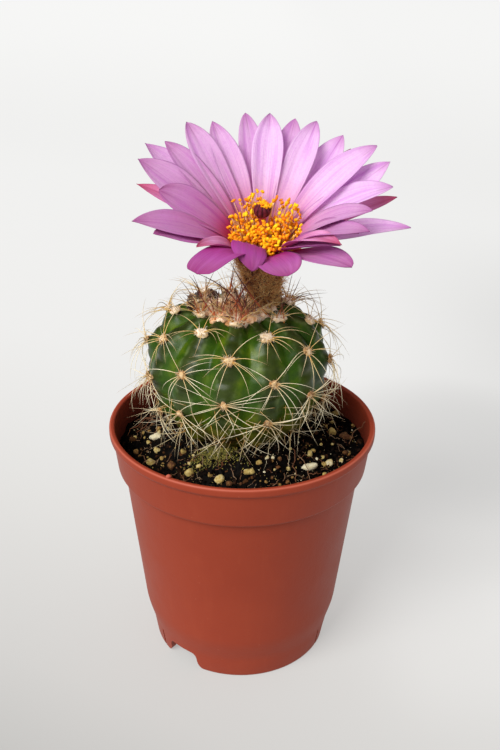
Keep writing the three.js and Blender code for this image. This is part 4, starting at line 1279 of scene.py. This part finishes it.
def tube_radius(height):
    heights = [TUBE_FOOT, TUBE_FOOT + 3, TUBE_FOOT + 8, TUBE_TOP - 2.5, TUBE_TOP]
    radii = [TUBE_FOOT_RADIUS, TUBE_FOOT_RADIUS + 0.1, 3.3, TUBE_TOP_RADIUS - 0.3, TUBE_TOP_RADIUS + 0.5]
    return np.interp(height, heights, radii)


def bent_tube(shape):
    """The tube in its place on the plant, with its foot a little to the right of its top."""
    below = smooth((TUBE_TOP - shape.points[:, 2]) / TUBE_LENGTH)
    return in_flower(shape.placed(shape.points + TUBE_BEND * below[:, None]))


def tube_noise(points):
    """Noise in patches that run along the tube."""
    return noise(points * [1, 1, 0.4], size=1.3, seed=4)


def make_tube():
    """The woolly tube under the petals, with its hairs and scales."""
    rng = np.random.default_rng(31)
    foot = TUBE_FOOT + 0.3
    heights = np.linspace(foot, TUBE_TOP, 60)
    shape = lathe([(0, foot), *zip(tube_radius(heights), heights), (0, TUBE_TOP)], sides=96)
    sideways = unit(shape.points * [1, 1, 0] + 1e-9)
    uneven = 0.22 * layered_noise(shape.points, size=1.6, layers=3, seed=11)
    shape.points += sideways * uneven[:, None]
    shape.values["tone"] = 0.12 + 0.16 * tube_noise(shape.points)
    wool = fuzz_material("tube_wool", (76, 34, 14), (204, 124, 58), (248, 208, 138), sheen=0.1)
    add_piece("flower_tube_core", bent_tube(shape), wool, "flower_tube")
    count = 5000
    azimuth = rng.uniform(0, 360, count)
    height = rng.uniform(foot + 4, TUBE_TOP + 0.3, count)
    roots = azimuth_vector(azimuth, tube_radius(height) - 0.1, height)
    azimuth = azimuth + 14 * rng.normal(size=count)
    direction = azimuth_vector(azimuth, rng.uniform(0.35, 1, count), rng.uniform(0.2, 1, count))
    tone = 0.42 + 0.42 * tube_noise(roots) + 0.18 * rng.normal(size=count)
    length = rng.uniform(0.8, 2.6, count)
    fur = hairs(roots, direction, length, rng, tone, radius=0.042, curl=0.3, paler=0.35)
    add_piece("flower_tube_hairs", bent_tube(fur), wool, "flower_tube")
    add_tube_scales(rng, foot)


def add_tube_scales(rng, foot):
    """Pointed scales that hug the tube, with a few dark bristles from their axils."""
    count, bristles, steps = 30, 60, 5
    azimuth = (np.arange(count) * 137.5) % 360
    height = np.linspace(foot + 5, TUBE_TOP - 1.2, count)
    roots = azimuth_vector(azimuth, tube_radius(height), height)
    out = azimuth_vector(azimuth)
    heading = unit(azimuth_vector(azimuth, 0.3, 1))
    paths = arcs(roots, heading, out, 14, rng.uniform(1.5, 2.4, count), 20, 0, steps)
    scales = tubes(paths, (0.15, 0.3, 0.28, 0.16, 0.03), sides=6)
    which = rng.integers(0, count, bristles)
    out = out[which]
    way = out * rng.uniform(0.5, 1.2, bristles)[:, None] + [0, 0, 0.9]
    way = unit(way + 0.35 * rng.normal(size=(bristles, 3)))
    length = rng.uniform(2, 4.2, bristles)
    bend = rng.uniform(-25, 25, bristles)
    paths = arcs(roots[which], way, out, 0, length, bend, 0.2 * rng.normal(size=bristles), steps)
    fine = tubes(paths, (0.06, 0.055, 0.05, 0.035, 0.012), sides=4)
    dark = ramp_material("tube_scales", (0, 120, 84, 46), (0.5, 104, 60, 36), (1, 48, 26, 18))
    add_piece("flower_tube_scales", bent_tube(joined([scales, fine])), dark, "flower_tube")


def petal_line(rise, reach, bend, foot, rows):
    """Slope, radius and height along a petal's middle, an arc from the ring to its tip."""
    tip = reach * np.array([np.cos(np.radians(rise)), np.sin(np.radians(rise))])
    chord = tip - [PETAL_ROOT_RADIUS, foot]
    half_bend = np.radians(bend / 2)
    slope = np.arctan2(chord[1], chord[0]) + half_bend * (1 - 2 * np.linspace(0, 1, rows))
    step = np.hypot(*chord) * half_bend / np.sin(half_bend) / (rows - 1)
    middle = (slope[:-1] + slope[1:]) / 2
    radius = PETAL_ROOT_RADIUS + np.concatenate([[0], np.cumsum(step * np.cos(middle))])
    height = foot + np.concatenate([[0], np.cumsum(step * np.sin(middle))])
    return slope, radius, height


def petal(form, cup, foot, rng):
    """One closed blade. Its edges stand up, and pleats and waves run along it."""
    azimuth, rise, reach, half_width, bend, roll, roundness, tone, *own = form
    cup, own_sway = own or (cup, None)
    rows, columns = 44, 17
    slope, radius, height = (line[:, None] for line in petal_line(rise, reach, bend, foot, rows))
    share = np.linspace(0, 1, rows)[:, None]
    across = np.linspace(-1, 1, columns)
    widest = 0.64 + 0.03 * rng.uniform(-1, 1)
    claw = 0.45 + 0.55 * smooth(share / widest)
    past = np.clip((share - widest) / (1 - widest), 0, 1)
    width = half_width * claw * np.clip((1 - past**2) ** (1 / roundness), 0.012, 1)
    flat = across * width
    fold = cup / roundness * smooth(share * 3) * (width / half_width)
    fold = fold * (1 + 0.35 * rng.uniform(-1, 1))
    waves = 0.2 * np.sin(2 * np.pi * (share * rng.uniform(1.2, 2.2) + rng.random()))
    pleats = 0.08 * np.cos(across * rng.uniform(3, 4.5) * np.pi + rng.uniform(0, 6))
    lift = fold * np.abs(across) ** 1.8 + waves * across**3 + pleats * (width / half_width)
    tilt = np.radians(roll) * smooth(share * 1.4)
    sway = rng.uniform(-1, 1)
    if own_sway is not None:
        sway = own_sway
    side = sway * np.sin(np.pi * share) + flat * np.cos(tilt) - lift * np.sin(tilt)
    raised = flat * np.sin(tilt) + lift * np.cos(tilt)
    thick = PETAL_THICKNESS * (1 - 0.6 * np.abs(across) ** 3) * (1 - 0.45 * share)
    layers = []
    for depth in (0, thick):
        away = radius - (raised - depth) * np.sin(slope)
        upward = height + (raised - depth) * np.cos(slope)
        layers.append(np.stack([side, -away, upward], axis=-1))
    around = np.concatenate([layers[0], layers[1][:, ::-1]], axis=1)
    ring = 2 * columns
    edge = np.arange(columns - 1)
    cap = np.stack([edge, edge + 1, ring - 2 - edge, ring - 1 - edge], axis=-1)
    faces = [grid_faces(rows, ring)[:, ::-1], cap, cap[:, ::-1] + (rows - 1) * ring]
    values = {
        "along": np.repeat(share, ring),
        "across": np.tile(np.concatenate([across, across[::-1]]), rows),
        "tone": tone,
        "seed": rng.uniform(0, 40),
    }
    return rotated(Shape(around, faces, **values), azimuth)


def make_petals():
    rng = np.random.default_rng(41)
    sepals = sepal_material()
    petals = petal_material()
    for name, (forms, cup, foot) in WHORLS.items():
        blades = in_flower(joined([petal(form, cup, foot, rng) for form in forms]))
        add_piece(name + "_petals", blades, sepals if name == "sepal" else petals, "flower_petals")
    bottom, edge = TUBE_TOP + 0.1, TUBE_TOP_RADIUS
    ring = [(0, bottom), (edge, bottom), (edge + 0.4, 0.6), (edge - 0.2, 1.8), (3.2, 1.3), (2.6, -0.4)]
    ring = rounded([*ring, (0, -0.5)], reach=0.5)
    base = lathe(ring, sides=72, along=0.06, across=0.5, tone=0.3, seed=3.0)
    add_piece("petal_ring", in_flower(base), petals, "flower_petals")


def make_stamens():
    """Short and crowded in front of the stigma, tall and sparse behind it."""
    rng = np.random.default_rng(52)
    count = 520
    crowded = rng.random(count) < 0.68
    azimuth = np.where(crowded, rng.normal(4, 56, count), rng.uniform(0, 360, count))
    behind = (1 - np.cos(np.radians(azimuth))) / 2
    spread = 1.4 + 7.2 * rng.random(count) ** 0.6
    beside = (azimuth + 196) % 360 - 180
    spread *= 1 - 0.4 * np.exp(-((beside / 22) ** 2))
    top = 10 - 0.5 * spread + rng.uniform(-2.6, 1.1, count) + behind * rng.uniform(-0.6, 5, count)
    top -= 1.2 * (1 - behind) * smooth((4.2 - spread) / 2)
    roots = azimuth_vector(azimuth, 1.6 + 0.28 * spread, 0.6 + 0.12 * spread)
    tips = azimuth_vector(azimuth + 6 * rng.normal(size=count), spread, top) + [0.8, 0, 0]
    steps = 8
    share = np.linspace(0, 1, steps)[None, :, None]
    bow = np.sin(np.pi * share)
    paths = roots[:, None] * (1 - share) + tips[:, None] * share
    paths[..., 2] += bow[..., 0] * -0.5 * (spread / 9)[:, None]
    paths += bow * 0.25 * rng.normal(size=(count, 1, 3))
    filaments = tubes(paths, np.linspace(0.11, 0.075, steps), sides=4)
    stops = (0, 220, 66, 20), (0.3, 242, 122, 8), (0.6, 246, 170, 46), (1, 250, 216, 170)
    threads = ramp_material("filaments", *stops, roughness=0.5)
    add_piece("filaments", in_flower(filaments), threads, "stamens")
    facing = unit(paths[:, -1] - paths[:, -2]) + 0.8 * rng.normal(size=(count, 3))
    size = rng.uniform(0.7, 1.15, (count, 3)) * [0.4, 0.34, 0.62]
    turns = frames_along(facing, rng)
    tone = rng.random(count)
    anthers = blobs(paths[:, -1], size, turns, rng, level=2, lumpiness=0.2, tone=tone)
    stops = (0, 236, 124, 0), (0.5, 253, 168, 0), (1, 255, 206, 14)
    surface = toned_surface("anthers", stops, (0.25, 3, 0.3, 0.7, 0.25), (0.12, 2, 0.06),
                            Roughness=0.7, Specular_IOR_Level=0.3)
    add_piece("anthers", in_flower(anthers), surface.material, "stamens")


def make_pistil():
    """The style, the lobed stigma on it and the pollen that clings to the stigma."""
    rng = np.random.default_rng(61)
    top = STIGMA_HEIGHT - 1.2
    profile = [(0, -0.6), (0.8, -0.6), (0.7, 3), (0.75, top - 1.5), (1, top), (0, top)]
    style = lathe(rounded(profile, reach=0.4), sides=24)
    style.values["along"] = np.clip(style.points[:, 2] / top, 0, 1)
    pink = ramp_material("style", (0, 222, 110, 50), (0.5, 214, 90, 70), (1, 190, 66, 80))
    add_piece("style", in_flower(style), pink, "pistil")
    polar = np.linspace(0.02, np.pi - 0.02, 26)
    shape = lathe([(0, -1), *zip(np.sin(polar[::-1]), np.cos(polar[::-1])), (0, 1)], sides=120)
    x, y, _ = shape.points.T
    lobes = np.abs(np.cos(STIGMA_LOBES / 2 * np.arctan2(y, x))) ** 0.7
    grooved = 1 - 0.17 * (1 - lobes) * np.hypot(x, y)
    uneven = 1 + 0.1 * noise(shape.points, size=0.3, seed=3)
    shape.points *= (STIGMA_RADIUS * grooved * uneven)[:, None]
    shape.points[:, 2] *= 0.95
    shape.points[:, 2] += STIGMA_HEIGHT
    # Painted shade: the grooves between the lobes take the dark end of the ramp, the lobes its lighter
    # middle.
    shape.values["along"] = 0.5 + 0.5 * (1 - lobes)
    stops = (0, 62, 6, 22), (0.5, 108, 18, 38), (1, 34, 2, 10)
    dark = ramp_material("stigma", *stops, roughness=0.7, depth=0.12, size=0.2)
    add_piece("stigma", in_flower(shape), dark, "pistil")
    count = 90
    heap = unit(rng.normal(size=(count, 3)) * [0.42, 0.34, 0.2] + [0.3, -0.08, 1])
    heap = heap * (STIGMA_RADIUS * rng.uniform(0.92, 1.12, count))[:, None] + [0, 0, STIGMA_HEIGHT]
    size = rng.uniform(0.12, 0.3, count)[:, None] * rng.uniform(0.8, 1.2, (count, 3))
    turns, tone = turned(count, rng), rng.random(count)
    pollen = blobs(heap, size, turns, rng, level=2, lumpiness=0.1, tone=tone)
    add_piece("pollen", in_flower(pollen), bpy.data.materials["anthers"], "pistil")


def floor_material():
    """Pale, with painted shading that darkens it towards the camera, a painted soft shadow to the
    right of the pot and behind it and a painted pool of light at the front right. It also glows,
    painted light that lifts it and softens the shadows on it.
    """
    surface = Surface("floor", Roughness=1.0, Specular_IOR_Level=0.0)
    across, back = (surface.node("SeparateXYZ", {0: surface.place}, axis) for axis in "XY")
    depth = (back + across * 0.5 + 75).math("MAXIMUM", 0)
    far = depth / (depth + 220)
    # Painted shading: darker towards the camera, lighter further back.
    shade = far.ramp((0, 0.55, 0.545, 0.53, 1), (0.12, 0.65, 0.643, 0.627, 1),
                     (0.3, 0.745, 0.737, 0.72, 1), (0.5, 0.835, 0.83, 0.82, 1),
                     (0.7, 0.88, 0.878, 0.87, 1), (1, 0.9, 0.9, 0.892, 1))
    # Painted shadow: darker to the right of the pot and behind it, with one soft round patch.
    painted_shadow = across.band(40, 200, 0, 0.21) * depth.band(70, 210, 0.1, 1) * far.band(0.6, 0.72, 1, 0.1)
    aside, beyond = (across - 75) / 60, (back - 98) / 60
    painted_shadow = painted_shadow + (aside * aside + beyond * beyond).band(0, 1, 0.11, 0)
    shade = shade.mixed(painted_shadow, (0, 0, 0, 1))
    # Painted pool of light at the front right.
    painted_light_patch = back.band(-50, -20) * back.band(5, 30, 1, 0) * across.band(25, 50, 0, 0.13)
    shade = shade.mixed(painted_light_patch, (1, 1, 1, 1))
    # Painted light: the floor glows by emission, more further back, which lifts it and softens the shadows
    # on it.
    surface.feed(Base_Color=shade.mixed(1.0, (0.36, 0.36, 0.36, 1), "MULTIPLY"), Emission_Color=shade,
                 Emission_Strength=far.band(0.72, 1, 0.573, 0.793))
    return surface.material


def add_floor():
    mesh = bpy.data.meshes.new("floor")
    half = FLOOR_HALF
    corners = [(-half, -half, 0), (half, -half, 0), (half, half, 0), (-half, half, 0)]
    mesh.from_pydata(corners, [], [(0, 1, 2, 3)])
    mesh.materials.append(floor_material())
    floor = bpy.data.objects.new("floor", mesh)
    bpy.context.scene.collection.objects.link(floor)


def stand(thing, place, right, up, back):
    """Puts a lamp or the camera at its place, looking away from the direction at its back."""
    thing.location = place
    thing.rotation_mode = "QUATERNION"
    thing.rotation_quaternion = Matrix(np.array([right, up, back])).transposed().to_quaternion()
    bpy.context.scene.collection.objects.link(thing)


def add_lights():
    world = bpy.data.worlds.new("soft_daylight")
    world.use_nodes = True
    background = world.node_tree.nodes["Background"]
    background.inputs["Color"].default_value = (1, 1, 1, 1)
    background.inputs["Strength"].default_value = DAYLIGHT
    world.cycles_visibility.glossy = False
    bpy.context.scene.world = world
    light = bpy.data.lights.new("window", "AREA")
    light.shape = "RECTANGLE"
    light.size = light.size_y = LAMP_SIZE * MM
    light.energy = LAMP_POWER
    light.color = LAMP_COLOUR
    back = unit(LAMP_PLACE - LAMP_TARGET)
    right = unit(np.cross([0, 0, 1], back))
    lamp = bpy.data.objects.new("window", light)
    stand(lamp, LAMP_PLACE * MM, right, np.cross(back, right), back)


def add_camera():
    """A camera that looks 26 degrees down from the front, slightly turned."""
    pitch, yaw, roll = np.radians([CAMERA_PITCH, CAMERA_YAW, CAMERA_ROLL])
    forward = np.array([np.sin(yaw) * np.cos(pitch), np.cos(yaw) * np.cos(pitch), -np.sin(pitch)])
    right = np.array([np.cos(yaw), -np.sin(yaw), 0])
    up = np.cross(right, forward)
    right, up = np.cos(roll) * right + np.sin(roll) * up, -np.sin(roll) * right + np.cos(roll) * up
    lens = bpy.data.cameras.new("camera")
    lens.sensor_width = 36
    lens.lens = CAMERA_LENS
    lens.clip_start, lens.clip_end = 0.01, 50
    camera = bpy.data.objects.new("camera", lens)
    stand(camera, np.array(CAMERA_PLACE) * MM + POT_AXIS, right, up, -forward)
    bpy.context.scene.camera = camera


bpy.context.scene.view_settings.view_transform = "Standard"
add_camera()
add_lights()
add_floor()
make_pot()
make_soil()
make_body()
make_spines()
make_areole_wool()
make_crown_wool()
make_dry_remains()
make_tube()
make_petals()
make_stamens()
make_pistil()
